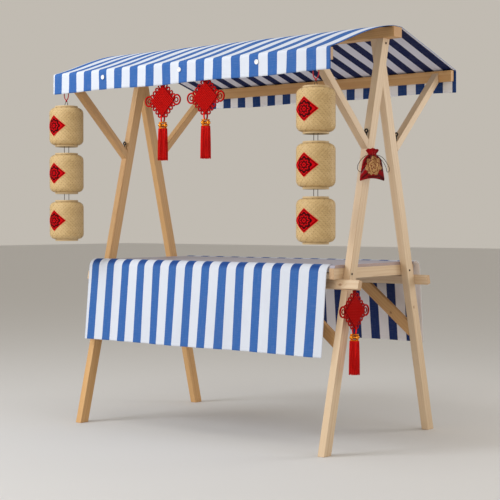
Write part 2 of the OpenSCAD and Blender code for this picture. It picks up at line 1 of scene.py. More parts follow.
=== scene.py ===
import bmesh
import bpy
import numpy as np
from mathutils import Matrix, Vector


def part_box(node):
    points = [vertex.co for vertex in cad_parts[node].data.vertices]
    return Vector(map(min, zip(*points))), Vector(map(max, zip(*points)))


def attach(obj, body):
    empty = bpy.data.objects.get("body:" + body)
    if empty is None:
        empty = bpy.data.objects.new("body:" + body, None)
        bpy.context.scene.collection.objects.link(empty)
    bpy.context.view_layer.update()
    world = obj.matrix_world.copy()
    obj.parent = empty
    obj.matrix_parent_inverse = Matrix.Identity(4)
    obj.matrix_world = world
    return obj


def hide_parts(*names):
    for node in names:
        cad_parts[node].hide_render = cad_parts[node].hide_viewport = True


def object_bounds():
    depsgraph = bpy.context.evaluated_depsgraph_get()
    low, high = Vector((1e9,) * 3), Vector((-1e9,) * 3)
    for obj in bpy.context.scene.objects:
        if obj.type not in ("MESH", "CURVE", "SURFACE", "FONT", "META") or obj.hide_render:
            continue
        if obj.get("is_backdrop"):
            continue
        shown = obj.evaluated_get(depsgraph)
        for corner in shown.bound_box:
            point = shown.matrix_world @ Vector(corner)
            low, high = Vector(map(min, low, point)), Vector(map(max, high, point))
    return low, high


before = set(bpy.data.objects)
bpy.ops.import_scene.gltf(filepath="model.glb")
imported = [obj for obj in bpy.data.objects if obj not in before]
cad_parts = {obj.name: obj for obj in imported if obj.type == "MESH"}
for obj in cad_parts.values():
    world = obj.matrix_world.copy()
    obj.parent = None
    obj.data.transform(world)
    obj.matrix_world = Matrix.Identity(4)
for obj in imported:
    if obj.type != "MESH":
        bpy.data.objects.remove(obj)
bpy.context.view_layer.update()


# Camera: stands beyond the stall's front right corner at about table height, and looks a little
# down. Its place, turn and lens are in metres, degrees and millimetres.
def in_scene(name, data):
    """Puts new data into the scene as an object at the origin."""
    made = bpy.data.objects.new(name, data)
    bpy.context.scene.collection.objects.link(made)
    return made


camera = in_scene("camera", bpy.data.cameras.new("camera"))
bpy.context.scene.camera = camera
camera.data.sensor_width = 36
camera.data.lens = 92.70
camera.data.clip_end = 100
camera.location = (4.2887, -5.3195, 1.0894)
camera.rotation_euler = np.radians([90 - 1.299, 0, 38.962])


# Frame: planed pine boards, bolted and screwed, some pale and some more golden and darker. The
# golden ones carry a warmer tone and painted shade, on the boards that stand in shade. They keep the
# shapes of their solids, with rounded edges, and their growth rings run through from face to end.
class Wire:
    """A socket in a finish. A sum on it puts in a Math node."""

    def __init__(self, finish, socket):
        self.finish = finish
        self.socket = socket

    def math(self, operation, *others):
        values = dict(enumerate([self, *others]))
        return self.finish.node("Math", {"operation": operation}, values)

    def from_other(self, operation, other):
        return self.finish.node("Math", {"operation": operation}, {0: other, 1: self})

    def __add__(self, other):
        return self.math("ADD", other)

    def __sub__(self, other):
        return self.math("SUBTRACT", other)

    def __rsub__(self, other):
        return self.from_other("SUBTRACT", other)

    def __mul__(self, other):
        return self.math("MULTIPLY", other)

    def __truediv__(self, other):
        return self.math("DIVIDE", other)

    def __rtruediv__(self, other):
        return self.from_other("DIVIDE", other)

    __radd__ = __add__
    __rmul__ = __mul__

    def step(self, low, high):
        """0 below low, 1 above high, and a smooth rise between. With low above high it falls."""
        settings = {"interpolation_type": "SMOOTHSTEP", "clamp": True}
        return self.finish.node(
            "MapRange", settings, {0: self, 1: low, 2: high, 3: 0.0, 4: 1.0})

    def wave(self, period, shift=0.0):
        """A cosine from 0 to 1 along this value."""
        return (self * (2 * np.pi / period) + shift).math("COSINE") * 0.5 + 0.5


def colour(red, green, blue):
    """A colour seen on screen, 0 to 255 each, as the shader's linear values."""
    share = np.array([red, green, blue]) / 255
    linear = np.where(share < 0.04045, share / 12.92, ((share + 0.055) / 1.055) ** 2.4)
    return (*linear.tolist(), 1.0)


class Finish:
    """A material. Values that are the same all over are set when it is made, by socket name."""

    def __init__(self, name, fixed):
        self.material = bpy.data.materials.new(name)
        self.material.use_nodes = True
        self.tree = self.material.node_tree
        self.shader = self.tree.nodes["Principled BSDF"]
        for key, value in fixed.items():
            self.shader.inputs[key].default_value = value

    def node(self, kind, settings, inputs, output=0):
        """Adds a node, with its settings first and then its sockets, and gives an output."""
        made = self.tree.nodes.new("ShaderNode" + kind)
        for key, value in settings.items():
            setattr(made, key, value)
        for key, value in inputs.items():
            if isinstance(value, Wire):
                self.tree.links.new(value.socket, made.inputs[key])
            else:
                made.inputs[key].default_value = value
        return Wire(self, made.outputs[output])

    def mark(self, name, output="Vector"):
        """A value that the mesh carries at each of its points."""
        return self.node("Attribute", {"attribute_name": name}, {}, output)

    def uv(self):
        """The piece's own UV map."""
        return self.node("UVMap", {"uv_map": "UVMap"}, {})

    def parts(self, vector):
        """The three numbers of a vector."""
        split = self.node("SeparateXYZ", {}, {0: vector}).socket.node
        return [Wire(self, split.outputs[i]) for i in range(3)]

    def vector(self, x, y, z):
        """A vector from three numbers."""
        return self.node("CombineXYZ", {}, {0: x, 1: y, 2: z})

    def stretch(self, vector, scale):
        """A vector times a scale of its own along each axis."""
        return self.node("VectorMath", {"operation": "MULTIPLY"}, {0: vector, 1: scale})

    def noise(self, vector, scale, detail=2.0, output="Fac"):
        """Cloudy noise from 0 to 1, about scale clouds to a unit."""
        inputs = {"Vector": vector, "Scale": scale, "Detail": detail}
        return self.node("TexNoise", {}, inputs, output)

    def mix(self, share, first, second):
        """A colour between two others: the first at share 0 and the second at 1."""
        return self.node("Mix", {"data_type": "RGBA"}, {0: share, 6: first, 7: second}, 2)

    def bump(self, height, distance, strength):
        """A normal tilted by a height from 0 to 1, which stands for a distance in metres."""
        inputs = {"Height": height, "Distance": distance, "Strength": strength}
        return self.node("Bump", {}, inputs)

    def feed(self, links):
        """Links what varies over the surface into the shader, by socket name."""
        for key, wire in links.items():
            self.tree.links.new(wire.socket, self.shader.inputs[key])
        return self


def wood_finish(name, pale, dark, fibre, ring_share, roughness):
    """Sawn wood: rings about a pith beside the board, bent by slow noise and by the board's knot,
    with fine fibres along the board. Reads the board's own lengthwise, crosswise and thickness axes
    and its knot's place and radius."""
    ring_width, knot_swell, knot_oval = 0.0062, 0.012, 0.62
    sway_across, sway_through = 0.022, 0.016
    finish = Finish(name, {"Specular IOR Level": 0.55})
    along, across, through = finish.parts(finish.mark("board"))
    pith_across, pith_through, seed = finish.parts(finish.mark("log"))
    knot_along, knot_across, knot_radius = finish.parts(finish.mark("knot"))
    place = finish.vector(along + seed * 3.7, across + seed, through - seed)
    # Each noise by its scale along the board, its scale across it, and its detail
    slow, fine, streak, tone = (
        finish.noise(finish.stretch(place, (lengthwise, crosswise, crosswise)), 1.0, detail)
        for lengthwise, crosswise, detail in ((1.6, 7, 2), (5, 420, 3), (1.3, 60, 2), (1.1, 9, 1)))
    slow = slow - 0.5
    from_along = (along - knot_along) * knot_oval
    from_across = across - knot_across
    knot_far = (from_along * from_along + from_across * from_across).math("SQRT") / knot_radius
    knot_far = knot_far + slow * 0.5
    pull = (knot_far * knot_far * -0.16).math("EXPONENT")
    side = across - pith_across + slow * sway_across
    deep = through - pith_through + slow * sway_through
    radius = (side * side + deep * deep).math("SQRT") + pull * knot_swell
    ring = (radius / ring_width + slow * 1.6).math("FRACT")
    late = ring.step(0.25, 0.93) * ring.step(1.0, 0.94)
    shade = late * ring_share + streak.step(0.35, 0.8) * 0.32 + tone.step(0.3, 0.75) * 0.28
    base = finish.mix(shade, pale, dark)
    base = finish.mix(fine.step(0.5, 0.78) * 0.35, base, fibre)
    knot = knot_far.step(1.1, 0.8)
    knot_rim = (knot_far * 1.3).math("FRACT").step(0.5, 0.9) * knot_far.step(2.6, 1.0)
    base = finish.mix(knot * 0.60 + knot_rim * 0.22, base, colour(142, 90, 50))
    end = finish.mark("end", "Fac")
    base = finish.mix(end * (0.35 + late * 0.35), base, colour(170, 122, 74))
    finish.feed({
        "Base Color": base,
        "Roughness": roughness + fine * 0.16 - late * 0.05,
        "Normal": finish.bump(fine * 0.5 + late * 0.3 - knot * 0.3, 0.0005, 0.6),
    })
    return finish


pine = wood_finish("pine", colour(223, 199, 167), colour(205, 173, 135), colour(190, 155, 117),
                   0.42, 0.44)
# A darker, more golden copy of the pine: a warmer tone, and painted shade for boards in shade.
golden_pine_painted_shade = wood_finish("golden_pine_painted_shade", colour(218, 175, 119), colour(198, 146, 88),
                          colour(182, 128, 72), 0.42, 0.44)
rng = np.random.default_rng(11)

# Knots that show: their distance along and across the board from its middle, and their radius.
# Every other board has its knot far off the wood.
WOOD_KNOTS = {
    "table_rail_front": (0.797, 0.003, 0.0056),
    "leg_front_left": (-0.52, 0.008, 0.0050),
    "leg_back_right": (-0.35, -0.010, 0.0055),
    "ridge_beam": (-0.33, 0.012, 0.0060),
    "knee_brace_back_right": (0.06, 0.006, 0.0045),
}
NO_KNOT = (9.0, 9.0, 0.005)


def give(mesh, name, values, domain="POINT"):
    """Writes a number or a vector for each point or face of a mesh, for its finish to read."""
    values = np.asarray(values, np.float32)
    kind, field = ("FLOAT", "value") if values.ndim == 1 else ("FLOAT_VECTOR", "vector")
    mesh.attributes.new(name, kind, domain).data.foreach_set(field, values.ravel())


def board_piece(node_name, finish, rounding=0.0022):
    """A board: its solid's mesh, merged, with the longest edge as its length and the normal of its
    largest face as its thickness. The edges are rounded by a Bevel modifier."""
    form = bmesh.new()
    form.from_mesh(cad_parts[node_name].data)
    bmesh.ops.remove_doubles(form, verts=form.verts, dist=1e-5)
    bmesh.ops.dissolve_limit(form, angle_limit=0.01, verts=form.verts, edges=form.edges)
    bmesh.ops.recalc_face_normals(form, faces=form.faces)
    longest = max(form.edges, key=lambda e: round(e.calc_length(), 5))
    length_axis = np.array(longest.verts[1].co - longest.verts[0].co)
    length_axis *= np.sign(length_axis[np.abs(length_axis).argmax()]) / np.linalg.norm(length_axis)
    widest = max(form.faces, key=lambda f: round(f.calc_area(), 7))
    depth_axis = np.array(widest.normal)
    depth_axis -= length_axis * (depth_axis @ length_axis)
    depth_axis /= np.linalg.norm(depth_axis)
    axes = np.array([length_axis, np.cross(depth_axis, length_axis), depth_axis])
    points = np.array([v.co for v in form.verts])
    faces = [[v.index for v in f.verts] for f in form.faces]
    normals = np.array([f.normal for f in form.faces])
    form.free()
    mesh = bpy.data.meshes.new(node_name + "_board")
    mesh.from_pydata(points, [], faces)
    placed = points @ axes.T
    placed -= (placed.min(0) + placed.max(0)) / 2
    log = [rng.uniform(-0.05, 0.05), rng.choice([-1, 1]) * rng.uniform(0.05, 0.11),
           rng.uniform(0, 5)]
    give(mesh, "board", placed)
    give(mesh, "log", np.tile(log, (len(points), 1)))
    give(mesh, "knot", np.tile(WOOD_KNOTS.get(node_name, NO_KNOT), (len(points), 1)))
    give(mesh, "end", np.abs(normals @ length_axis) > 0.5, "FACE")
    mesh.shade_smooth()
    mesh.materials.append(finish.material)
    piece = in_scene(node_name + "_board", mesh)
    bevel = piece.modifiers.new("rounding", "BEVEL")
    bevel.width = rounding
    bevel.segments = 3
    bevel.limit_method = "ANGLE"
    bevel.harden_normals = True
    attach(piece, "root")
    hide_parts(node_name)


for board in ("leg_front_right", "leg_back_right", "eave_beam_front", "roof_brace_front_right",
              "roof_brace_back_right", "table_rail_front", "table_rail_back", "table_end_left",
              "table_end_right"):
    board_piece(board, pine)
# These boards take the darker, golden copy: a warmer tone and painted shade.
for board in ("leg_front_left", "leg_back_left", "ridge_beam", "eave_beam_back",
              "roof_brace_front_left", "roof_brace_back_left", "knee_brace_front_left",
              "knee_brace_front_right", "knee_brace_back_left", "knee_brace_back_right"):
    board_piece(board, golden_pine_painted_shade)


# Tabletop: one flat board on the rails and table ends, painted a dull lilac grey. The grain shows
# through the paint.
painted = wood_finish("tabletop_paint", colour(176, 172, 185), colour(158, 153, 168),
                      colour(146, 141, 156), 0.35, 0.42)
board_piece("tabletop", painted, 0.0015)


# Roof sheet: one length of striped canvas over the ridge and eave beams, hanging down in front and
# behind to a stitched hem. Its inner side has a darker blue, as painted shade, and a brighter white,
# as painted light through the cloth. Under its slopes the inner side is painted darker still, as
# painted shade, and its stripes there lie aside. Its ends run askew with the frames.
class Shape:
    """Points and faces of one mesh, gathered from grids and caps."""

    def __init__(self):
        self.points = []
        self.faces = []
        self.uvs = []
        self.finishes = []
        self.count = 0

    def take(self, faces, uvs, finish):
        """Adds faces with the UV places of their corners and the number of their finish."""
        self.faces.append(faces)
        self.uvs.append(uvs.reshape(-1, 2))
        self.finishes.append(np.full(len(faces), finish))

    def grid(self, points, uv, around=False, along=False, finish=0):
        """Quads between the rows and columns of points, (..., rows, columns, 3). around joins the
        last column to the first and along the last row to the first. uv has one more of each
        where they join. Faces look along columns x rows."""
        points = points.reshape((-1,) + points.shape[-3:])
        batch, rows, columns = points.shape[:3]
        row, column = np.meshgrid(
            np.arange(rows - 1 + along), np.arange(columns - 1 + around), indexing="ij")
        row = np.stack([row, row, row + 1, row + 1], -1).reshape(-1, 4)
        column = np.stack([column, column + 1, column + 1, column], -1).reshape(-1, 4)
        index = (row % rows) * columns + column % columns
        index = index + np.arange(batch)[:, None, None] * rows * columns + self.count
        uv = np.broadcast_to(uv, (batch, rows + along, columns + around, 2))
        self.take(index.reshape(-1, 4), uv[:, row, column], finish)
        self.points.append(points.reshape(-1, 3))
        self.count += batch * rows * columns

    def caps(self, rings, out, finish=0):
        """Closes rings of points, (..., columns, 3), with fans about their middles. out is 1 where
        the faces look the way in which the ring's normal points, and -1 for the other way."""
        rings = rings.reshape((-1,) + rings.shape[-2:])
        batch, columns = rings.shape[:2]
        middles = rings.mean(1, keepdims=True)
        points = np.concatenate([rings, middles], 1)
        near = np.arange(columns)
        fan = np.stack([near, (near + 1) % columns, np.full(columns, columns)], -1)[:, ::out]
        index = fan + np.arange(batch)[:, None, None] * (columns + 1) + self.count
        self.take(index.reshape(-1, 3), np.zeros((batch * columns * 3, 2)), finish)
        self.points.append(points.reshape(-1, 3))
        self.count += batch * (columns + 1)

    def piece(self, name, finishes, slot_name, nodes, weld=1e-6):
        """Makes the mesh and its object, named name, and merges points that coincide. slot_name is not
        used.
        """
        mesh = bpy.data.meshes.new(name)
        corners = np.concatenate([f.ravel() for f in self.faces])
        sizes = np.concatenate([np.full(len(f), f.shape[1]) for f in self.faces])
        mesh.vertices.add(self.count)
        mesh.vertices.foreach_set("co", np.concatenate(self.points).astype(np.float32).ravel())
        mesh.loops.add(len(corners))
        mesh.loops.foreach_set("vertex_index", corners.astype(np.int32))
        mesh.polygons.add(len(sizes))
        mesh.polygons.foreach_set(
            "loop_start", np.concatenate([[0], np.cumsum(sizes)[:-1]]).astype(np.int32))
        mesh.polygons.foreach_set("material_index", np.concatenate(self.finishes).astype(np.int32))
        mesh.uv_layers.new(name="UVMap").data.foreach_set(
            "uv", np.concatenate(self.uvs).astype(np.float32).ravel())
        mesh.update(calc_edges=True)
        form = bmesh.new()
        form.from_mesh(mesh)
        bmesh.ops.remove_doubles(form, verts=form.verts, dist=weld)
        form.to_mesh(mesh)
        form.free()
        mesh.validate()
        mesh.shade_smooth()
        for finish in finishes:
            mesh.materials.append(finish.material)
        made = in_scene(name, mesh)
        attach(made, "root")
        if nodes:
            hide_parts(*nodes)
        return made


def cloth_finish(name, blue, white, first, pitch, share, hem, fold_shade=None, lining=None):
    """Striped canvas: bands of blue and white across the UV map's first axis, in metres, with a
    plain weave in its bump and a row of blind stitches beside each hem. share is the blue part of a
    pitch. fold_shade is a place along the second axis and a reach about it, where the blue is painted
    deeper, as painted shade on a fold. lining is a span along the second axis with its own darker
    blue and white, as painted shade, and with the bands there moved aside."""
    finish = Finish(name, {"Roughness": 0.84, "Specular IOR Level": 0.10})
    across, down, _ = finish.parts(finish.uv())
    # Painted shade: between lining's two places the blue and white are darker, and the bands move aside.
    if lining:
        start, end, aside, shade_blue, shade_white = lining
        shaded_span = down.step(start, start + 0.001) * down.step(end + 0.001, end)
        across = across - shaded_span * aside
        blue = finish.mix(shaded_span, blue, shade_blue)
        white = finish.mix(shaded_span, white, shade_white)
    edge_noise = finish.noise(finish.vector(across, down * 0.5, 0.0), 260.0, 2.0) - 0.5
    turn = ((across - first + edge_noise * 0.0012) / pitch).math("FLOORED_MODULO", 1.0)
    blue_share = turn.step(0.0, 0.012) * turn.step(share + 0.012, share)
    cloudy = finish.noise(finish.vector(across, down, 0.3), 5.0, 3.0)
    slub = finish.noise(finish.vector(across * 18, down * 380, 0.0), 1.0, 2.0)
    slub_down = finish.noise(finish.vector(across * 380, down * 18, 0.0), 1.0, 2.0)
    base = finish.mix(blue_share, white, blue)
    base = finish.mix(cloudy.step(0.35, 0.8) * 0.06, base, colour(110, 110, 130))
    base = finish.mix((slub + slub_down).step(0.9, 1.35) * 0.07, base, colour(205, 210, 222))
    # Painted shade: the blue is darker near the fold.
    if fold_shade:
        place, reach = fold_shade
        near = (down - place).math("ABSOLUTE").step(reach, 0.0)
        base = finish.mix(near * blue_share * 0.6, base, colour(14, 44, 118))
    thread, stitch_long = 0.0011, 0.0056
    weave = across.wave(thread) * down.wave(thread, np.pi / 2) + slub * 0.6 + slub_down * 0.6
    stitch = 0.0
    for place in hem:
        stitch = (down - place).math("ABSOLUTE").step(0.0016, 0.0006) + stitch
    ticks = across.wave(stitch_long).step(0.25, 0.5)
    base = finish.mix(stitch * ticks * 0.25, base, finish.mix(blue_share, colour(205, 205, 212), blue))
    finish.feed({
        "Base Color": base,
        "Normal": finish.bump(weave * 0.25 - stitch * (1 - ticks) * 1.2, 0.0005, 0.7),
    })
    return finish


def path_length(points):
    """Distance along a line of points, from its first."""
    return np.concatenate([[0], np.cumsum(np.linalg.norm(np.diff(points, axis=0), axis=1))])


def places(*coordinates):
    """Points, or UV places, from their coordinates, each of them an array or one number."""
    return np.stack(np.broadcast_arrays(*coordinates), -1)


def resampled(points, count):
    """The same line with points an even distance apart, by linear steps along its length."""
    at = path_length(points)
    even = np.linspace(0, at[-1], count)
    return places(*(np.interp(even, at, column) for column in points.T))


# The sheet's section is given by distances out from the ridge's line and heights above the floor
ROOF_HALF = 0.910
ROOF_SKEW = 0.0196 / 0.594
ROOF_THICK = 0.0016
ROOF_GRID = (180, 200)
RIDGE_EDGE = np.array([0.036, 2.0336])
RIDGE_REST = 0.05
SLOPE_FREE = 0.5
SLOPE_LIFT = 0.0006
EAVE_FOLD = np.array([0.5835, 1.8769])
EAVE_OUT = 0.56
VALANCE_Y = 0.594
VALANCE_TOP = 1.86
VALANCE_TALL = 0.09
FOLD_R = 0.014
HEM_DEEP = 0.020
HEM_RISE = 0.0006
HEM_SWAY = 0.0025

# Waves in the cloth: each one's height, its rate along, its rate across and its shift
SLOPE_WAVES = ((0.0014, 11, 3, 0), (0.0011, 23, -5, 2.1), (0.0007, 47, 9, 0))
VALANCE_WAVES = ((0.0022, 13, 0.8, 0), (0.0016, 29, 0, 1.3), (0.0008, 61, 0.4, 0))


def roof_half(hem_z, bulge, count=40):
    """Half of the roof sheet's section, as distance out from the ridge and height, from the hem up:
    a drop, a quarter round and a slope that bulges by 6.75 s (1 - s) squared."""
    slope = np.arctan2(RIDGE_EDGE[1] - EAVE_FOLD[1], EAVE_FOLD[0] - RIDGE_EDGE[0])
    turn = np.linspace(0, np.pi / 2 - slope, 7)
    centre = EAVE_FOLD - FOLD_R * np.array([np.sin(slope), np.cos(slope)])
    centre[0] = VALANCE_Y - FOLD_R
    bend = centre + FOLD_R * places(np.cos(turn), np.sin(turn))
    share = np.linspace(1, 0, count)[1:, None]
    rise = 6.75 * share * (1 - share) ** 2 * bulge
    rafter = RIDGE_EDGE + (bend[-1] - RIDGE_EDGE) * share + rise * [0, 1]
    drop = places(VALANCE_Y, np.linspace(hem_z, centre[1], 12))
    return np.concatenate([drop, bend[1:], rafter])


def waves(along, across, rows):
    """Sum of sines: a height times the sine of a rate along, a rate across and a shift."""
    return sum(height * np.sin(along * rate + across * cross_rate + shift)
               for height, rate, cross_rate, shift in rows)


def hem_rise(at):
    """How far a hem stands proud at a distance from its edge: level, with short sloping sides."""
    near = np.clip(1 - np.abs(at - HEM_DEEP / 2) / (HEM_DEEP / 2 + 0.001), 0, 1)
    return np.minimum(near * 4, 1) * HEM_RISE


front_half = roof_half(hem_z=1.768, bulge=0.016)
back_half = roof_half(hem_z=1.760, bulge=0.0)
section = resampled(np.concatenate([front_half * [-1, 1], back_half[::-1]]), ROOF_GRID[0])
section_at = path_length(section)
roof_long = section_at[-1]
tangent = np.gradient(section, axis=0)
tangent /= np.linalg.norm(tangent, axis=1, keepdims=True)
section_normal = places(-tangent[:, 1], tangent[:, 0])
section = section - section_normal * ROOF_THICK

# The sheet: its slopes lift a little between ridge and eave, and its hanging edges sway
along = np.linspace(-ROOF_HALF, ROOF_HALF, ROOF_GRID[1])
outward, high = section[:, :1], section[:, 1:]
side, out = np.sign(outward), np.abs(outward)
hang = np.clip((VALANCE_TOP - high) / VALANCE_TALL, 0, 1) * (out > EAVE_OUT)
slope_share = np.clip((out - RIDGE_REST) / SLOPE_FREE, 0, 1)
free = 16 * (slope_share * (1 - slope_share)) ** 2 * (out < EAVE_OUT)
lift = free * (waves(along, outward, SLOPE_WAVES) + SLOPE_LIFT)
lift = lift + hang ** 1.3 * waves(along, side, VALANCE_WAVES)
lift = lift + np.maximum(hem_rise(section_at), hem_rise(roof_long - section_at))[:, None]
hem_drop = hang * HEM_SWAY * np.sin(along * 9 + 1.0 + side) * (out > VALANCE_Y - FOLD_R)
roof_points = places(along - ROOF_SKEW * outward, outward + section_normal[:, :1] * lift,
                     high + section_normal[:, 1:] * lift + hem_drop)
roof_uv = places(along, section_at[:, None])

# Stripes: the first one's place along the stall, and a blue and a white one together
HEM_SEAM = 0.019
ROOF_PITCH = 0.1117
ROOF_FIRST = -0.9002
STRIPE_PITCH = 0.1125
BLUE = colour(54, 101, 170)
WHITE = colour(214, 220, 232)
roof_hems = [HEM_SEAM, roof_long - HEM_SEAM]
roof_cloth = cloth_finish("roof_canvas", BLUE, WHITE, ROOF_FIRST, ROOF_PITCH, 0.5, roof_hems)
# Under the slopes, between these places, the inner side's darker blue and white are painted shade.
SLOPE_SHADE_START = 0.1135
SLOPE_SHADE_END = roof_long - 0.1215
SLOPE_STRIPES_ASIDE = 0.59 * ROOF_PITCH
roof_slope_shade = (SLOPE_SHADE_START, SLOPE_SHADE_END, SLOPE_STRIPES_ASIDE, colour(14, 28, 78), colour(222, 224, 238))
# The inner side: a darker blue as painted shade, and a brighter white as painted light.
roof_under = cloth_finish("roof_canvas_underside", colour(32, 64, 124), colour(248, 250, 254),
                          ROOF_FIRST, ROOF_PITCH, 0.5, roof_hems, lining=roof_slope_shade)


def thicken(piece, thickness):
    """Gives a sheet its thickness, evenly on both sides, with the second finish inside."""
    solid = piece.modifiers.new("thickness", "SOLIDIFY")
    solid.thickness = thickness
    solid.offset = 0
    solid.use_even_offset = True
    solid.material_offset = 1
    return piece


roof = Shape()
roof.grid(roof_points, roof_uv)
roof = thicken(roof.piece("roof_sheet", [roof_cloth, roof_under], "striped_cloth", ["canopy"]),
               ROOF_THICK)


# Table cloths: two strips of the same canvas, laid over the front and the back edge of the tabletop
# and hanging to a hem. Each turns over the edge in a wide soft fold, and its folds start below it.
CLOTH_OUT = 0.4112
CLOTH_TOP = 0.8841
CLOTH_FOLD = 0.0450
CLOTH_THICK = 0.0014
CLOTH_GRID = (100, 220)
CLOTH_LAP = [(-0.350, 0.8823), (-0.358, 0.8825), (-0.366, 0.8832)]
CLOTH_HEM_OUT = -0.4472
FREE_BELOW = 0.85
EDGE_RUCK = 0.0008
CORNER_CURL = 0.005
HEM_WAVE = 0.0012
CLOTH_WAVES = ((0.0048, 9.3, 1, 0), (0.0030, 21.7, 2.1, 0), (0.0014, 47, 3, 0))


def table_cloth(node, behind, left, length, hem_z, first, share, phase):
    """A cloth on a grid: across along the stall, and down a path of lap, round fold and drop. The
    drop is pushed out by sines whose height grows with the distance below the fold."""
    turn = np.radians(np.linspace(90, 180, 13))
    bend = places(CLOTH_FOLD * (1 + np.cos(turn)) - CLOTH_OUT,
                  CLOTH_FOLD * (np.sin(turn) - 1) + CLOTH_TOP)
    path = resampled(np.concatenate([CLOTH_LAP, bend, [(CLOTH_HEM_OUT, hem_z)]])[::-1],
                     CLOTH_GRID[0])
    at = path_length(path)[:, None]
    tall = at[-1, 0]
    along = np.linspace(0, length, CLOTH_GRID[1])
    outward, high = path[:, :1], path[:, 1:]
    low = np.clip((FREE_BELOW - high) / (FREE_BELOW - hem_z), 0, 1)
    fan = along + 0.02 * low * np.sin(along * 2.4 + phase)
    edge = np.sin(np.pi * np.clip((high - 0.80) / 0.085, 0, 1))
    push = low ** 1.25 * waves(fan, phase, CLOTH_WAVES) + hem_rise(at)
    push = push + EDGE_RUCK * np.sin(fan * 31 + phase) * edge
    curl = CORNER_CURL * low ** 2 * np.clip(1 - along / 0.03, 0, 1) ** 2
    points = places(left + along + curl, outward - push,
                    high + HEM_WAVE * low * np.sin(fan * 7.1 + phase))
    uv = places(along, at)
    if behind:
        points = (points * [1, -1, 1])[::-1]
        uv = uv[::-1]
    name = "table_" + node
    # The blue is painted darker where the cloth turns over the table's edge: painted shade.
    cloth = cloth_finish(name + "_canvas", BLUE, WHITE, first, STRIPE_PITCH, share, [HEM_SEAM],
                         fold_shade=(tall - 0.048, 0.034))
    # The inner side: a darker blue as painted shade, and a brighter white as painted light.
    under = cloth_finish(name + "_canvas_underside", colour(34, 54, 112), colour(250, 248, 252),
                         first, STRIPE_PITCH, share, [HEM_SEAM])
    shape = Shape()
    shape.grid(points, uv)
    piece = thicken(shape.piece(name, [cloth, under], "striped_cloth", [node]), CLOTH_THICK)


table_cloth("cloth_front", behind=False, left=-0.805, length=1.584, hem_z=0.450, first=0.0205,
            share=0.47, phase=0.4)
table_cloth("cloth_back", behind=True, left=-0.779, length=1.566, hem_z=0.460, first=0.0015,
            share=0.485, phase=2.2)


# Buttons: white moulded buttons with a round rim and a dished middle, sewn in a row to the front
# hanging edge, above its hem.
def circle(count):
    """Angles of a whole turn, an even step apart, without the last."""
    return np.linspace(0, 2 * np.pi, count, endpoint=False)


def wrapped(sides, at):
    """UV places of a surface that closes round: 0 to 1 round it, and a distance along it."""
    return places(np.linspace(0, 1, sides + 1), np.asarray(at)[:, None])


def lathe(shape, profile, centre, sides=32, forward=False, finish=0):
    """A profile of radius and height, turned about an upright axis through the centre, or about
    one that points forward. Rows follow the profile and columns go round, so an outline drawn
    upwards looks out."""
    profile = np.asarray(profile, float)
    angle = circle(sides)
    points = places(profile[:, :1] * np.cos(angle), profile[:, :1] * np.sin(angle), profile[:, 1:])
    if forward:
        points = places(points[..., 0], -points[..., 2], points[..., 1])
    shape.grid(points + np.asarray(centre), wrapped(sides, path_length(profile)), around=True,
               finish=finish)


def mottled(name, fixed, grain, light, dark, between, rough=None, bump=None, detail=3.0):
    """A finish with a fine mottle: noise on Object coordinates, scaled by grain along each axis,
    that turns light to dark between two of its values. rough is the roughness at noise 0 and what
    noise 1 adds to it, and bump is a height and a strength."""
    finish = Finish(name, fixed)
    place = finish.node("TexCoord", {}, {}, "Object")
    spot = finish.noise(finish.stretch(place, grain), 1.0, detail)
    finish.feed({"Base Color": finish.mix(spot.step(*between), light, dark)})
    if rough:
        finish.feed({"Roughness": spot * rough[1] + rough[0]})
    if bump:
        finish.feed({"Normal": finish.bump(spot, *bump)})
    return finish


BUTTON_OUTLINE = [(0.0, 0.0), (0.0108, 0.0), (0.0120, 0.0010), (0.0118, 0.0026), (0.0106, 0.0034),
                  (0.0092, 0.0030), (0.0080, 0.0020), (0.0050, 0.0018), (0.0030, 0.0018),
                  (0.0, 0.0020)]
BUTTON_Y = -0.5942
BUTTON_Z = 1.834
button_plastic = mottled(
    "button_plastic", {"Coat Weight": 0.3, "Coat Roughness": 0.15}, (60, 60, 60),
    colour(240, 240, 240), colour(226, 227, 232), (0.4, 0.7), rough=(0.25, 0.2), detail=2.0)
buttons = Shape()
for x in (-0.514, 0.019, 0.507):
    lathe(buttons, BUTTON_OUTLINE, (x, BUTTON_Y, BUTTON_Z), forward=True)
buttons.piece("roof_buttons", [button_plastic], "white_button", ["canopy_buttons"])


# Lanterns: open barrels plaited from thin bamboo strips, with a bound rim above and below, a stick
# across each mouth and a red paper diamond with a black printed flower on the front.
def cord_grid(shape, paths, radius, across, sides=8, closed=False, finish=0):
    """Round cords along paths, (count, points, 3). Each ring stands across its path, from the
    cross product with a fixed direction. Closed paths join up and open ones get caps."""
    paths = np.asarray(paths, float)
    if paths.ndim == 2:
        paths = paths[None]
    if closed:
        forward = np.roll(paths, -1, 1) - np.roll(paths, 1, 1)
    else:
        forward = np.gradient(paths, axis=1)
    forward /= np.linalg.norm(forward, axis=-1, keepdims=True)
    side = np.cross(np.broadcast_to(across, paths.shape), forward)
    side /= np.linalg.norm(side, axis=-1, keepdims=True)
    up = np.cross(forward, side)
    angle = circle(sides)[:, None]
    radius = np.broadcast_to(radius, paths.shape[:2])[:, :, None, None]
    rings = paths[:, :, None] + radius * (
        np.cos(angle) * side[:, :, None] + np.sin(angle) * up[:, :, None])
    step = np.linalg.norm(np.diff(paths, axis=1), axis=-1)
    if closed:
        last = np.linalg.norm(paths[:, 0] - paths[:, -1], axis=-1)[:, None]
        step = np.concatenate([step, last], 1)
    at = np.concatenate([np.zeros((len(paths), 1)), np.cumsum(step, 1)], 1)
    turn = np.linspace(0, 1, sides + 1)
    uv = np.stack(np.broadcast_arrays(turn, at[:, :, None]), -1)
    shape.grid(rings, uv, around=True, along=closed, finish=finish)
    if not closed:
        shape.caps(rings[:, 0], -1, finish)
        shape.caps(rings[:, -1], 1, finish)


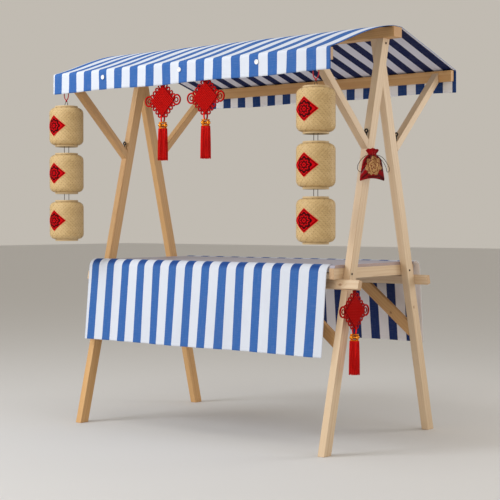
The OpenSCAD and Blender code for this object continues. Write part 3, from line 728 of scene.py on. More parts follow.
LANTERN_R = 0.090
LANTERN_HALF = 0.109
MOUTH_R = 0.061
RIM_H = 0.010
RIM_R = 0.0024
RIM_Z = LANTERN_HALF - RIM_H / 2
STICK_R = 0.0025
LINING_IN = 0.0022
WALL_IN = 0.0034
SHOULDER = LANTERN_R - MOUTH_R
STRAIGHT = LANTERN_HALF - RIM_H - SHOULDER
HUNG_Y = -0.570


def barrel(count):
    """A lantern's side as radius and height, from the lower rim to the upper: a quarter round, a
    straight side and a quarter round."""
    arc = np.linspace(-np.pi / 2, 0, 16)
    low = places(MOUTH_R + SHOULDER * np.cos(arc), -STRAIGHT + SHOULDER * np.sin(arc))
    high = (low * [1, -1])[::-1]
    return resampled(np.concatenate([low, high]), count)


bamboo = Finish("bamboo_strips", {"Specular IOR Level": 0.35})
around, length_at, _ = bamboo.parts(bamboo.uv())
fibre = bamboo.noise(bamboo.vector(around * 900, length_at * 60, 0.0), 1.0, 3.0)
patch = bamboo.noise(bamboo.vector(around * 3, length_at * 22, 0.5), 1.0, 2.0)
strip_tone = bamboo.mix(fibre.step(0.35, 0.75), colour(214, 185, 134), colour(192, 158, 104))
strip_tone = bamboo.mix(patch.step(0.35, 0.75) * 0.4, strip_tone, colour(174, 138, 86))
bamboo.feed({
    "Base Color": strip_tone,
    "Roughness": fibre * 0.25 + 0.42,
    "Normal": bamboo.bump(fibre, 0.0003, 0.5),
})

lining = mottled(
    "bamboo_lining", {"Specular IOR Level": 0.2}, (160, 160, 800), colour(168, 132, 84),
    colour(142, 106, 62), (0.3, 0.7), rough=(0.6, 0.2), bump=(0.0004, 0.5))
# The barrel's inner face: a dark brown that paints the shade inside the lantern.
painted_shade_inside = mottled(
    "bamboo_inside_painted_shade", {"Specular IOR Level": 0.1}, (190, 190, 190), colour(96, 64, 36),
    colour(72, 46, 26), (0.3, 0.7), rough=(0.7, 0.2), bump=(0.0004, 0.5))

rim_wood = Finish("bamboo_rim", {"Specular IOR Level": 0.4})
around, length_at, _ = rim_wood.parts(rim_wood.uv())
rim_grain = rim_wood.noise(rim_wood.vector(around * 9, length_at * 900, 0.0), 1.0, 3.0)
rim_wood.feed({
    "Base Color": rim_wood.mix(rim_grain.step(0.3, 0.75), colour(212, 188, 146),
                               colour(188, 158, 112)),
    "Roughness": rim_grain * 0.2 + 0.38,
    "Normal": rim_wood.bump(rim_grain, 0.0003, 0.5),
})


def about(x, z):
    """Distance from a print's middle, and the bearing of each place from it."""
    return (x * x + z * z).math("SQRT"), x.math("ARCTAN2", z)


def lobes(bearing, number, shift=0.0):
    """A value round a print that rises to 1 twice this number of times."""
    return (bearing * number + shift).math("COSINE").math("ABSOLUTE")


# The print is a rosette of thick strokes: two rings of petals and spokes about a small disc, and a
# border. Each ring has its radius, its petals' depth, and where its line ends and where it is full.
PAPER_WIDE = 0.0695
PAPER_TALL = 0.0565
PAPER_PROUD = 0.0008
PAPER_RUCK = 0.0004
PETAL_RINGS = ((0.0255, 0.0085, 0.0060, 0.0050), (0.0105, 0.0050, 0.0046, 0.0037))
paper = Finish("red_paper", {"Specular IOR Level": 0.04})
paper_x, paper_z, _ = paper.parts(paper.uv())
away, bearing = about(paper_x, paper_z)
spokes = lobes(bearing, 4, np.pi / 2).step(0.46, 0.34)
spokes = spokes * away.step(0.0125, 0.0135) * away.step(0.0255, 0.0240)
corner = paper_x.math("ABSOLUTE") / PAPER_WIDE + paper_z.math("ABSOLUTE") / PAPER_TALL
border = (corner - 0.86).math("ABSOLUTE").step(0.040, 0.030)
ink = away.step(0.0042, 0.0032) + spokes + border
for radius, depth, edge, full in PETAL_RINGS:
    ink = ink + (away - radius - lobes(bearing, 4) * depth).math("ABSOLUTE").step(edge, full)
worn = paper.noise(paper.uv(), 300.0, 3.0)
ink = ink.math("MINIMUM", 1.0) * worn.step(0.20, 0.40)
sheet_red = paper.mix(worn.step(0.3, 0.8) * 0.5, colour(204, 4, 14), colour(178, 2, 10))
paper.feed({
    "Base Color": paper.mix(ink * 0.95, sheet_red, colour(34, 1, 3)),
    "Roughness": worn * 0.2 + 0.55 - ink * 0.1,
    "Normal": paper.bump(worn, 0.0002, 0.4),
})

STRIPS = 30
CROSSINGS = 25
STRIP_LIFT = 0.00070
STRIP_CROWN = 0.00012
STRIP_SHARE = 0.79
STRIP_IN = 0.0004
STRIP_WIDE = 0.007
NEXT_GRAIN = 0.031
CLIMB = 1.4


def strips(centre, way):
    """One family of plaited strips: each climbs the barrel on a helix, and rises and falls by a
    cosine so that it goes over one strip of the other family and under the next."""
    outline = barrel(2 * CROSSINGS + 1)
    slope = np.gradient(outline, axis=0)
    slope /= np.linalg.norm(slope, axis=1, keepdims=True)
    step = np.arange(len(outline))
    number = np.arange(STRIPS)[:, None, None]
    lift = STRIP_LIFT * way * np.cos(np.pi * step / 2)[:, None] * np.where(number % 2, -1, 1)
    half = np.pi / STRIPS * STRIP_SHARE
    start = number * 2 * np.pi / STRIPS
    angle = start + (way * step * (np.pi / STRIPS / 2))[:, None] + np.array([-half, 0, half])
    out = lift + np.array([-1, 1, -1]) * STRIP_CROWN
    radius = outline[:, :1] + out * slope[:, 1:] - STRIP_IN
    height = outline[:, 1:] - out * slope[:, :1]
    points = places(radius * np.cos(angle), radius * np.sin(angle), height)
    uv = places(np.array([0, 0.5, 1]) * STRIP_WIDE + number * NEXT_GRAIN,
                path_length(outline)[:, None] * CLIMB)
    return points + centre, uv


def lantern(node, x, z):
    """Two families of strips over a thin lining, two rims, two sticks and the paper diamond."""
    centre = np.array([x, HUNG_Y, z])
    shape = Shape()
    for way in (-1, 1):
        points, uv = strips(centre, way)
        shape.grid(points, uv)
    wall = barrel(40)
    lathe(shape, wall - [LINING_IN, 0], centre, 72, finish=1)
    # An inner wall, facing inward, in the dark finish that paints the shade inside.
    lathe(shape, (wall - [WALL_IN, 0])[::-1], centre, 72, finish=4)
    for way in (-1, 1):
        ring = np.linspace(0, 2 * np.pi, 17)
        bound = np.sign(np.sin(ring)) * np.abs(np.sin(ring)) ** 0.7
        rim = places(MOUTH_R - RIM_R + RIM_R * np.cos(ring), way * RIM_Z + RIM_H / 2 * bound)
        lathe(shape, rim, centre, 96, finish=2)
        stick = places(0, np.linspace(-1, 1, 9) * (MOUTH_R - 0.002), way * RIM_Z)
        cord_grid(shape, centre + stick, STICK_R, (0, 0, 1), 10, finish=2)
    u, v = np.meshgrid(np.linspace(-1, 1, 29), np.linspace(-1, 1, 29))
    across = (u - v) / 2 * PAPER_WIDE
    down = (u + v) / 2 * PAPER_TALL
    angle = -np.pi / 2 + across / LANTERN_R
    profile = barrel(121)
    ruck = PAPER_RUCK * np.sin(across * 210 + down * 90) * np.sin(down * 160)
    radius = np.interp(down, profile[:, 1], profile[:, 0]) + PAPER_PROUD + ruck
    points = places(radius * np.cos(angle), radius * np.sin(angle), down) + centre
    shape.grid(points, places(across, down), finish=3)
    finishes = [bamboo, lining, rim_wood, paper, painted_shade_inside]
    shape.piece(node + "_plait", finishes, "bamboo_weave", [node], weld=1e-7)


LANTERN_X = {"left": -0.815, "right": 0.833}
LANTERN_Z = {"top": 1.593, "middle": 1.342, "bottom": 1.091}
for end, x in LANTERN_X.items():
    for level, z in LANTERN_Z.items():
        lantern(f"lantern_{end}_{level}", x, z)


# Lantern cords: a red twisted cord, looped over a pin under the eave beam, holds two thin brown
# cords from the top lantern's stick. Two more run from each lantern's stick to the next one's.
def cord_finish(name, light, dark, lay, strands):
    """A laid cord: strands wind round it, from the UV map's turn and its length in metres. The
    grooves between the strands are painted darker, as painted shade.
    """
    finish = Finish(name, {"Roughness": 0.55, "Specular IOR Level": 0.3})
    turn, at, _ = finish.parts(finish.uv())
    lie = (turn * strands + at / lay).wave(1.0)
    fuzz = finish.noise(finish.vector(turn * 40, at * 2500, 0.0), 1.0, 2.0)
    base = finish.mix(lie.step(0.05, 0.6), dark, light)
    base = finish.mix(fuzz.step(0.5, 0.8) * 0.2, base, dark)
    finish.feed({"Base Color": base, "Normal": finish.bump(lie * 0.8 + fuzz * 0.3, 0.0006, 0.8)})
    return finish


TWIST_R = 0.0026
THIN_R = 0.0015
TURN_R = 0.0013
LOOP_HALF = 0.0165
LOOP_DROP = 0.030
LOOP_Z = 1.765
LOOP_FOOT = LOOP_Z - LOOP_DROP
EAVE_UNDER = 1.816
CORD_Y = 0.016
STICK_TURN_R = 0.0034
KNOB = (0.0052, 0.0056)
red_twist = cord_finish("red_twisted_cord", colour(206, 44, 56), colour(142, 14, 24), 0.006, 2)
brown_twist = cord_finish("brown_thin_cord", colour(92, 62, 48), colour(46, 28, 22), 0.004, 2)
for end, x in LANTERN_X.items():
    cords = Shape()
    hung = np.array([x, HUNG_Y, 0])
    bend = np.linspace(-np.pi, 0, 17)
    loop = places(LOOP_HALF * np.cos(bend), 0, LOOP_Z + LOOP_DROP * np.sin(bend))
    strand = places(LOOP_HALF, 0, np.linspace(LOOP_Z, EAVE_UNDER, 9)[1:])
    looped = np.concatenate([(strand * [-1, 1, 1])[::-1], loop, strand])
    cord_grid(cords, hung + looped, TWIST_R, (0, 1, 0), 10)
    up = np.linspace(-np.pi / 2, np.pi / 2, 9)
    knob = places(KNOB[0] * np.cos(up), KNOB[1] * np.sin(up))
    lathe(cords, knob, hung + [0, 0, LOOP_FOOT - 0.0055], 16)
    sticks = [z + way * RIM_Z for z in LANTERN_Z.values() for way in (1, -1)]
    for y in (-CORD_Y, CORD_Y):
        share = np.linspace(0, 1, 7)
        slant = places(0, y * (1 - share), sticks[0] + (LOOP_FOOT - sticks[0]) * share)
        cord_grid(cords, hung + slant, THIN_R, (1, 0, 0), finish=1)
        for upper, lower in (sticks[1:3], sticks[3:5]):
            line = places(0, y, np.linspace(upper, lower, 7))
            cord_grid(cords, hung + line, THIN_R, (1, 0, 0), finish=1)
        for z in sticks[:5]:
            turn = places(STICK_TURN_R * np.cos(circle(16)), y,
                          z + STICK_TURN_R * np.sin(circle(16)))
            cord_grid(cords, hung + turn, TURN_R, (0, 1, 0), closed=True, finish=1)
    cords.piece(f"lantern_cords_{end}", [red_twist, brown_twist], "red_cord",
                [f"lantern_cord_{end}"])


# Knots: a long red cord laid over and under itself in a square on its corner, with some of its turns
# drawn out as small open loops along the edges and as a double ear at each side.
def knot_finish(name, crest, valley):
    """A satin cord, laid from two strands, lighter where it lies on top of the weave. Where it dips
    under the weave and in the grooves between its strands it is painted darker, as painted shade.
    """
    finish = Finish(name, {"Roughness": 0.5, "Specular IOR Level": 0.05})
    turn, at, _ = finish.parts(finish.uv())
    lie = (turn * 2 + at / 0.0045).wave(1.0)
    # Painted shade: the cord darkens where it lies low in the weave and between its strands.
    rise = finish.mark("crest", "Fac").step(0.0030, 0.0074)
    base = finish.mix(rise, valley, crest)
    base = finish.mix((1 - lie.step(0.0, 0.4)) * 0.35, base, valley)
    finish.feed({"Base Color": base, "Normal": finish.bump(lie, 0.0006, 0.8)})
    return finish


knot_cord = knot_finish("knot_cord", colour(255, 26, 16), colour(96, 0, 6))

KNOT_SIDE = 0.108
KNOT_CORDS = 12
KNOT_PITCH = KNOT_SIDE / KNOT_CORDS
KNOT_R = 0.0042
KNOT_RISE = 0.0034
KNOT_REACH = KNOT_SIDE / np.sqrt(2)
LOOP_STEP = 0.0245
EDGE_HALF = 0.0084
EDGE_REACH = 0.0132
EDGE_R = 0.0038
EDGE_ROOT = 0.006

# Rings by the distance of their middle from the knot's and their radius, and their cords' radii
EARS = ((0.0934, 0.0240), (0.0915, 0.0108))
CORNER_RING = (0.0709, 0.0100)
RING_R = np.array([0.0044, 0.0031, 0.0036])

# Cords above the knot, and the two that run down from it to the beads
HANGER_R = 0.0025
HANGER_HALF = 0.0022
HANGER_ROOT = 0.006
BEAD_CORD_R = 0.0040
BEAD_CORD_TOP = -0.0700
BEAD_CORD_BOW = 0.0046
BEAD_CORD_HALF = (0.0025, 0.0052)
ORNAMENT_TURN = np.radians(40)
ORNAMENT_TOP = -0.1069


def weave(way):
    """One family of the knot's cord, in its own plane: to and fro along one diagonal, rising and
    falling by a cosine over and under the other family, with a half round at each turn."""
    step = np.arange(2 * KNOT_CORDS + 1) / 2 - KNOT_CORDS / 2
    number = np.arange(KNOT_CORDS)
    bend = np.linspace(-np.pi / 2, np.pi / 2, 7)[1:-1]
    run = np.concatenate([step * KNOT_PITCH, KNOT_SIDE / 2 + KNOT_PITCH / 2 * np.cos(bend)])
    to_next = np.concatenate([0 * step, 0.5 + np.sin(bend) / 2])
    over = KNOT_RISE * np.cos(np.pi * (step[None] + 0.5 + number[:, None])) * way
    over = np.concatenate([over, np.zeros((KNOT_CORDS, len(bend)))], 1)
    ends = np.where(number % 2, -1, 1)[:, None]
    over[1::2, :len(step)] = over[1::2, len(step) - 1::-1]
    run = run[None] * ends
    place = (number[:, None] - (KNOT_CORDS - 1) / 2 + to_next) * KNOT_PITCH
    run, place, over = (row.ravel()[:-len(bend)] for row in (run, place, over))
    first, second = (run, place) if way > 0 else (place, run)
    return places((first - second) / np.sqrt(2), over, (first + second) / np.sqrt(2))


def edge_loops():
    """Four open loops on each edge, each of two strands and a half round, a little out of true."""
    turn = np.linspace(-np.pi / 2, np.pi / 2, 11)
    strand = np.linspace(-EDGE_ROOT, EDGE_REACH - 0.002, 4)
    out = np.concatenate([strand, EDGE_REACH + EDGE_HALF * np.cos(turn), strand[::-1]])
    side = EDGE_HALF * np.concatenate([np.full(4, -1), np.sin(turn), np.full(4, 1)])
    loops = []
    for quarter in np.radians([45, 135, 225, 315]):
        for k in (-1.5, -0.5, 0.5, 1.5):
            bow, lean = rng.uniform(-0.07, 0.07, 2)
            x = KNOT_SIDE / 2 + out
            z = k * LOOP_STEP + side * (1 + bow * np.sin(out * 90)) + lean * out
            loops.append(places(np.cos(quarter) * x - np.sin(quarter) * z, 0,
                                np.sin(quarter) * x + np.cos(quarter) * z))
    return np.array(loops)


def knot_rings():
    """The ears, each two rings one in the other, and a small ring at the upper and lower corner."""
    turn = circle(40)
    rings = []
    for way in (-1, 1):
        for middle, radius in EARS:
            rings.append(places(way * middle + radius * np.cos(turn), 0, radius * np.sin(turn)))
        middle, radius = CORNER_RING
        rings.append(places(radius * np.cos(turn), 0, way * middle + radius * np.sin(turn)))
    return np.array(rings)


def swung(points, angle, place=(0, 0, 0)):
    """Points about a piece's middle, turned about the upright by an angle, and placed."""
    c, s = np.cos(angle), np.sin(angle)
    x, y, z = np.moveaxis(np.asarray(points, float), -1, 0)
    return places(c * x - s * y, s * x + c * y, z) + np.asarray(place)


def points_of(mesh):
    """The places of a mesh's points."""
    found = np.empty(len(mesh.vertices) * 3, np.float32)
    mesh.vertices.foreach_get("co", found)
    return found.reshape(-1, 3)


def knot(name, node, place, top, angle, hangers):
    """The woven square, its loops and ears, the cords that it hangs from, given by their distances
    to each side, and the two cords that run down to the beads."""
    across = swung((0, 1, 0), angle)
    shape = Shape()
    for way in (-1, 1):
        cord_grid(shape, swung(weave(way), angle, place), KNOT_R, across, 6)
    cord_grid(shape, swung(edge_loops(), angle, place), EDGE_R, across)
    cord_grid(shape, swung(knot_rings(), angle, place), np.tile(RING_R, 2)[:, None], across,
              closed=True)
    rise = np.linspace(0, 1, 9)
    for way in (-1, 1):
        for aside in hangers:
            foot = KNOT_REACH - HANGER_ROOT - aside
            apart = HANGER_HALF + (aside - HANGER_HALF) * np.sin(np.pi / 2 * rise) ** 0.7
            hang = places(way * apart, 0, foot + (top - foot) * rise)
            cord_grid(shape, swung(hang, angle, place), HANGER_R, across)
        start = swung((way * BEAD_CORD_HALF[0], 0, BEAD_CORD_TOP), angle, place)
        end = swung((way * BEAD_CORD_HALF[1], 0, ORNAMENT_TOP), ORNAMENT_TURN, place)
        bow = swung((way * BEAD_CORD_BOW, 0, 0), ORNAMENT_TURN) * np.sin(np.pi * rise)[:, None]
        cord_grid(shape, start + (end - start) * rise[:, None] + bow, BEAD_CORD_R, (0.7, -0.7, 0))
    mesh = shape.piece(name, [knot_cord], "red_cord", [node]).data
    side, crest, up = np.abs(swung(points_of(mesh) - place, -angle)).T
    outside = side + up > KNOT_REACH + 0.004
    give(mesh, "crest", np.where(outside, KNOT_RISE + 0.45 * crest, crest))


# Each knot's middle, the top of its cords above that, its turn about the upright, and the cords'
# distances to each side
KNOTS = {
    "left": ((-0.114, HUNG_Y, 1.691), 0.125, 0.0, [0.0027]),
    "right": ((0.170, HUNG_Y, 1.691), 0.125, 0.0, [0.0027]),
    "low": ((0.892, -0.3435, 0.668), 0.0975, np.pi / 2, [0.0027, 0.0070, 0.0112]),
}
for which, (place, top, angle, hangers) in KNOTS.items():
    knot("knot_" + which + "_cords", "knot_" + which, place, top, angle, hangers)


# Beads: a pair of gilt balls side by side under each knot, with a small one between them, held by a
# flat ribbed gilt band above and another below.
gilt = mottled("gilt", {"Metallic": 1.0}, (240, 240, 240), colour(240, 158, 54),
               colour(192, 98, 20), (0.35, 0.75), rough=(0.10, 0.14), bump=(0.0002, 0.3))
# A very dark red cord for the core behind the balls: painted shade in the gaps between them.
knot_shade = cord_finish("painted_shade_cord", colour(96, 6, 6), colour(52, 2, 4), 0.0035, 2)
# Each ball's place to the side, its radius and its ribs
BALLS = ((-0.0132, 0.0108, 12), (0.0132, 0.0108, 12), (0.0, 0.0065, 8))
BEAD_Z = -0.1234
BANDS = (-0.1134, -0.1399)
BAND_H = 0.0065
BAND_INSET = -0.0060
BAND_LONG = 0.0192
BAND_DEEP = 0.0080
BAND_RIB = 0.0011
BALL_DIP = 0.07
CORE_R = 0.0085
CORE_HALF = 0.0150
CORE_BACK = 0.0035


def oval(shape, profile, place):
    """A profile of outward distance and height, carried round an oval about the upright."""
    profile = np.asarray(profile)
    out, height = profile[:, :1], profile[:, 1:]
    angle = circle(48)
    points = places((BAND_LONG + out) * np.cos(angle), (BAND_DEEP + out) * np.sin(angle), height)
    shape.grid(swung(points, ORNAMENT_TURN, place), wrapped(48, path_length(profile)), around=True)


def ribbed_ball(shape, x, radius, ribs, place):
    """A ball with shallow upright ribs: its radius falls off between them by a cosine's power."""
    up = np.radians(np.linspace(-90, 90, 25))[:, None]
    angle = circle(8 * ribs)
    dip = 1 - BALL_DIP * np.cos(up) * (1 - np.abs(np.cos(angle * ribs / 2)) ** 0.6)
    ball = radius * dip[..., None] * places(
        np.cos(up) * np.cos(angle), np.cos(up) * np.sin(angle), np.sin(up))
    uv = wrapped(8 * ribs, np.linspace(0, 1, 25))
    shape.grid(swung(ball + [x, 0, BEAD_Z], ORNAMENT_TURN, place), uv, around=True)


for which, (place, *_) in KNOTS.items():
    shape = Shape()
    for x, radius, ribs in BALLS:
        ribbed_ball(shape, x, radius, ribs, place)
    # A dark core behind the balls, as painted shade between them.
    core = [(way * CORE_HALF, CORE_BACK, BEAD_Z) for way in (-1, 1)]
    cord_grid(shape, swung(core, ORNAMENT_TURN, place), CORE_R, (0, 0, 1), 16, finish=1)
    for foot in BANDS:
        rise = np.linspace(0, 1, 33)
        ribs = BAND_RIB * np.abs(np.sin(rise * 3 * np.pi)) ** 0.7
        wall = places(ribs, foot + BAND_H * rise)
        oval(shape, [(BAND_INSET, foot), *wall, (BAND_INSET, foot + BAND_H)], place)
        for z, out in ((foot, -1), (foot + BAND_H, 1)):
            rim = places((BAND_LONG + BAND_INSET) * np.cos(circle(48)),
                         (BAND_DEEP + BAND_INSET) * np.sin(circle(48)), z)
            shape.caps(swung(rim, ORNAMENT_TURN, place), out)
    shape.piece(f"beads_{which}_gilt", [gilt, knot_shade], "gold_bead", [f"beads_{which}"])


# Tassels: two bundles of red silk threads under each pair of beads, gripped at the head by a winding
# of thread, wider at the foot, where they are trimmed almost level.
# The lighter streaks along the threads are partly thread tone that varies at random and partly painted
# sheen.
silk = mottled("silk_threads", {"Roughness": 0.36, "Specular IOR Level": 0.08}, (520, 520, 7),
               colour(170, 0, 6), colour(250, 34, 28), (0.35, 0.68), bump=(0.0004, 0.5), detail=2.0)
TASSEL_LONG = 0.160
HEAD_Z = BANDS[1]
FOOT_Z = HEAD_Z - TASSEL_LONG
BUNDLE_ASIDE = 0.0116
HEAD_R = 0.0106
FOOT_FLARE = 0.0034
BELLY = 0.0006
THREADS = 72
THREAD_R = 0.00078
WINDING_R = 0.0100
WINDING_THREAD_R = 0.00085
WINDING_STEP = 0.0016
TASSEL_CORE = [(0.0, FOOT_Z + 0.006), (0.0115, FOOT_Z + 0.006), (0.0120, FOOT_Z + 0.012),
               (0.0108, HEAD_Z - 0.07), (0.0091, HEAD_Z), (0.0, HEAD_Z)]
for which, (place, *_) in KNOTS.items():
    shape = Shape()
    for way, fill in ((-1, 1), (1, 1), (0, 0.88)):
        centre = np.array([way * BUNDLE_ASIDE, 0, 0])
        down = np.linspace(0, 1, 11)
        bearing = circle(THREADS) + rng.uniform(-0.03, 0.03, THREADS)
        layer = np.where(np.arange(THREADS) % 2, 1.0, 0.92)
        spread = fill * (HEAD_R + FOOT_FLARE * down ** 0.8 + BELLY * np.sin(np.pi * down))
        radius = layer[:, None] * spread
        radius = radius * (1 + rng.uniform(-0.04, 0.03, (THREADS, 1)) * down)
        sway = rng.uniform(-1, 1, (THREADS, 1)) * 0.06 * down * down
        sway = sway + rng.uniform(-1, 1, (THREADS, 1)) * 0.03 * np.sin(np.pi * 2 * down)
        long = TASSEL_LONG - rng.uniform(0, 0.004, (THREADS, 1))
        lean = bearing[:, None] + sway
        threads = places(radius * np.cos(lean), radius * np.sin(lean), HEAD_Z - long * down)
        cord_grid(shape, swung(threads + centre, ORNAMENT_TURN, place), THREAD_R, (1, 0.01, 0), 4)
        lathe(shape, TASSEL_CORE, swung(centre, ORNAMENT_TURN, place))
        for k in range(4):
            band = places(WINDING_R * np.cos(circle(24)), WINDING_R * np.sin(circle(24)),
                          HEAD_Z - WINDING_STEP * (k + 1))
            cord_grid(shape, swung(band + centre, ORNAMENT_TURN, place), WINDING_THREAD_R,
                      (0, 0, 1), 6, closed=True)
    shape.piece(f"tassel_{which}_threads", [silk], "red_strands", [f"tassel_{which}"])


# Pouch: a small wine red satin bag with a woven gold flower. It is stuffed a little, drawn in at its
# neck by a cord, and its mouth spreads in a frill.
satin = Finish("wine_satin", {"Specular IOR Level": 0.16})
cloth_x, cloth_z, _ = satin.parts(satin.uv())
bent = satin.parts(satin.noise(satin.uv(), 55.0, 2.0, "Color"))
FLOWER_AT = (0.005, 0.075)
FLOWER_R = (0.0385, 0.0465)
WAVER = 0.55
flower_x = (cloth_x - FLOWER_AT[0]) / FLOWER_R[0] + (bent[0] - 0.5) * WAVER
flower_z = (cloth_z - FLOWER_AT[1]) / FLOWER_R[1] + (bent[1] - 0.5) * WAVER
from_heart, bearing = about(flower_x, flower_z)


def scallop(radius, depth, number, shift=0.0):
    """Distance beyond a scalloped line about the flower's heart."""
    return from_heart - radius - lobes(bearing, number / 2, shift) * depth


outline = scallop(0.84, 0.16, 7)
blossom = outline.step(0.03, -0.01)
line_work = outline.math("ABSOLUTE").step(0.045, 0.02)
for radius, depth, number, shift in ((0.52, 0.16, 7, np.pi / 2), (0.24, 0.12, 5, 0.0)):
    line = scallop(radius, depth, number, shift).math("ABSOLUTE").step(0.058, 0.034)
    line_work = line_work.math("MAXIMUM", line)
rays = lobes(bearing, 12, np.pi / 2).step(0.24, 0.10)
rays = rays * from_heart.step(0.62, 0.68) * from_heart.step(0.92, 0.84)
pips = lobes(bearing, 9, np.pi / 2).step(0.40, 0.20)
pips = pips * from_heart.step(0.10, 0.13) * from_heart.step(0.24, 0.19)
line_work = line_work.math("MAXIMUM", rays).math("MAXIMUM", pips) * blossom
wefts = satin.noise(satin.vector(cloth_x * 260, cloth_z * 1500, 0.0), 1.0, 2.0)
damask = (cloth_x.wave(0.013) * cloth_z.wave(0.015)).step(0.50, 0.72)
wine = satin.mix(wefts.step(0.3, 0.7), colour(176, 4, 18), colour(146, 0, 10))
wine = satin.mix(damask * 0.3, wine, colour(108, 2, 10))
# Painted shade: the wine red darkens in the fold valleys, along the creases, near the foot and on the
# right.
wine = satin.mix(satin.mark("valley", "Fac") * 0.85, wine, colour(44, 0, 4))
gold = satin.mix(wefts.step(0.3, 0.7), colour(218, 178, 120), colour(190, 144, 88))
# Painted shade on the gold flower, in the same places.
gold = satin.mix(satin.mark("valley", "Fac") * 0.4, gold, colour(130, 60, 26))
gold = satin.mix(line_work, gold, colour(112, 26, 20))
satin.feed({
    "Base Color": satin.mix(blossom * 0.92, wine, gold),
    "Roughness": wefts * 0.12 + 0.22 + blossom * 0.14,
    "Normal": satin.bump(wefts * 0.4 + blossom * 0.8 - line_work * 0.5, 0.0004, 0.6),
})

POUCH_H = 0.160
POUCH_AT = np.array([0.884, -0.1851, 1.276])
POUCH_TURN = np.radians(-51)
POUCH_HALF = 0.059
NECK = 0.79
BRIM = 0.84
GATHER_DEEP = 0.0046
CREASE_DEEP = 0.0034
CREASE_WIDE = 0.0042

# Slow waves of the slack cloth: their depth, rates across and up, shift, and where they end
SLACK = ((0.0022, 5.3, 9, 0, 0.7), (0.0018, 3.1, -16, 1, 0.6))

# Half widths, half depths and the depth of the pleats, each by its share of the pouch's height
WIDTHS = np.array([
    (0, 0.0565), (0.05, 0.0590), (0.12, 0.0583), (0.22, 0.0560), (0.35, 0.0530), (0.50, 0.0495),
    (0.61, 0.0455), (0.69, 0.0395), (0.745, 0.0310), (0.785, 0.0215), (0.815, 0.0190),
    (0.85, 0.0218), (0.92, 0.0272), (1.0, 0.0300)])
DEPTHS = np.array([
    (0, 0), (0.03, 0.006), (0.10, 0.0130), (0.22, 0.0172), (0.40, 0.0168), (0.55, 0.0158),
    (0.68, 0.0145), (0.765, 0.0118), (0.80, 0.0112), (0.88, 0.0118), (1.0, 0.0135)])
PLEATS = np.array([
    (0, 0), (0.30, 0), (0.55, 0.05), (0.70, 0.12), (0.79, 0.20), (0.86, 0.24), (1.0, 0.34)])

turn = circle(192)
t = np.linspace(0, 1, 110)
T = t[:, None]
half_w, half_d, pleat = (np.interp(t, *table.T) for table in (WIDTHS, DEPTHS, PLEATS))
soften = np.array([1, 2, 3, 2, 1]) / 9
half_w[2:-2] = np.convolve(half_w, soften, "valid")
half_d[2:-2] = np.convolve(half_d, soften, "valid")
pleats = 0.6 * np.cos(11 * turn + 0.6 * np.sin(3 * turn)) + 0.4 * np.cos(6 * turn + 1)
ruffle = 1 + pleat[:, None] * pleats
across = half_w[:, None] * np.sin(turn) * (1 + 0.35 * (ruffle - 1))
front = np.sign(np.cos(turn))
deep = half_d[:, None] * front * np.abs(np.cos(turn)) ** 1.2 * ruffle


def gathers(height_share, across_share):
    """Folds that run down from the neck, from -1 in a hollow to 1 on a crest."""
    below = np.clip((height_share - 0.30) / 0.4, 0, 1) * (height_share < NECK)
    return below * np.cos(8.5 * across_share + 0.8)


# Creases in the pouch's front, each from one point across and up to another
CREASES = np.array([
    [-0.047, 0.018, -0.014, 0.047], [0.050, 0.016, 0.024, 0.036], [-0.040, 0.078, -0.024, 0.112],
    [0.036, 0.084, 0.022, 0.116], [-0.018, 0.022, 0.030, 0.025], [-0.051, 0.044, -0.034, 0.070],
    [-0.010, 0.098, -0.004, 0.124], [0.046, 0.052, 0.040, 0.078]])


def creases(x, z):
    """How near to a crease each point is: 1 on it, and falling off as a bell beside it."""
    run = CREASES[:, 2:] - CREASES[:, :2]
    away = places(x, z)[..., None, :] - CREASES[:, :2]
    along = np.clip((away * run).sum(-1) / (run ** 2).sum(-1), 0, 1)
    far = np.linalg.norm(away - along[..., None] * run, axis=-1)
    return np.exp(-(far / CREASE_WIDE) ** 2).max(-1)


# The sides: dents push the front and back in and out, and the foot and the brim curve down
share = across / half_w[:, None]
dent = GATHER_DEEP * gathers(T, share)
for deepness, aside_rate, up_rate, shift, top in SLACK:
    wave = np.sin(aside_rate * across / POUCH_HALF + up_rate * T + shift)
    dent = dent + deepness * wave * np.clip(T / 0.1, 0, 1) * (T < top)
dent = dent - CREASE_DEEP * creases(across, POUCH_H * T)
deep = deep + front * dent * np.abs(np.cos(turn))
height = POUCH_H * T + 0.015 * (1 - share ** 2) * (1 - T) ** 5
height = height + 0.003 * np.abs(share) ** 3 * (1 - T) ** 8
frill = np.clip((T - BRIM) / (1 - BRIM), 0, 1)
height = height + frill * (0.002 * (np.sin(7 * turn + 1) - 1) - 0.0075 * share ** 2)

# The mouth's inner side: the same rows again, from the brim down to the neck, drawn in
tuck = np.linspace(1, 0.80, 14)
rows = np.interp(tuck, t, np.arange(len(t))).astype(int)
drawn = np.interp(tuck, [0.80, 0.97, 1.0], [0.25, 0.86, 0.93])[:, None]
local = np.concatenate([
    places(deep, across, height),
    places(deep[rows] * drawn, across[rows] * drawn, height[rows] - 0.0006)])
pouch_points = swung(local, POUCH_TURN, POUCH_AT)
flat = np.concatenate([places(across, height), places(across[rows], height[rows])])
pouch = Shape()
pouch.grid(pouch_points, np.concatenate([flat, flat[:, :1]], 1), around=True)
pouch.caps(pouch_points[-1], 1)
pouch_bag = pouch.piece("pouch_bag", [satin], "red_satin", ["pouch"])
_, aside, up = swung(points_of(pouch_bag.data) - POUCH_AT, -POUCH_TURN).T
height_share = up / POUCH_H
across_share = aside / np.interp(height_share, t, half_w)
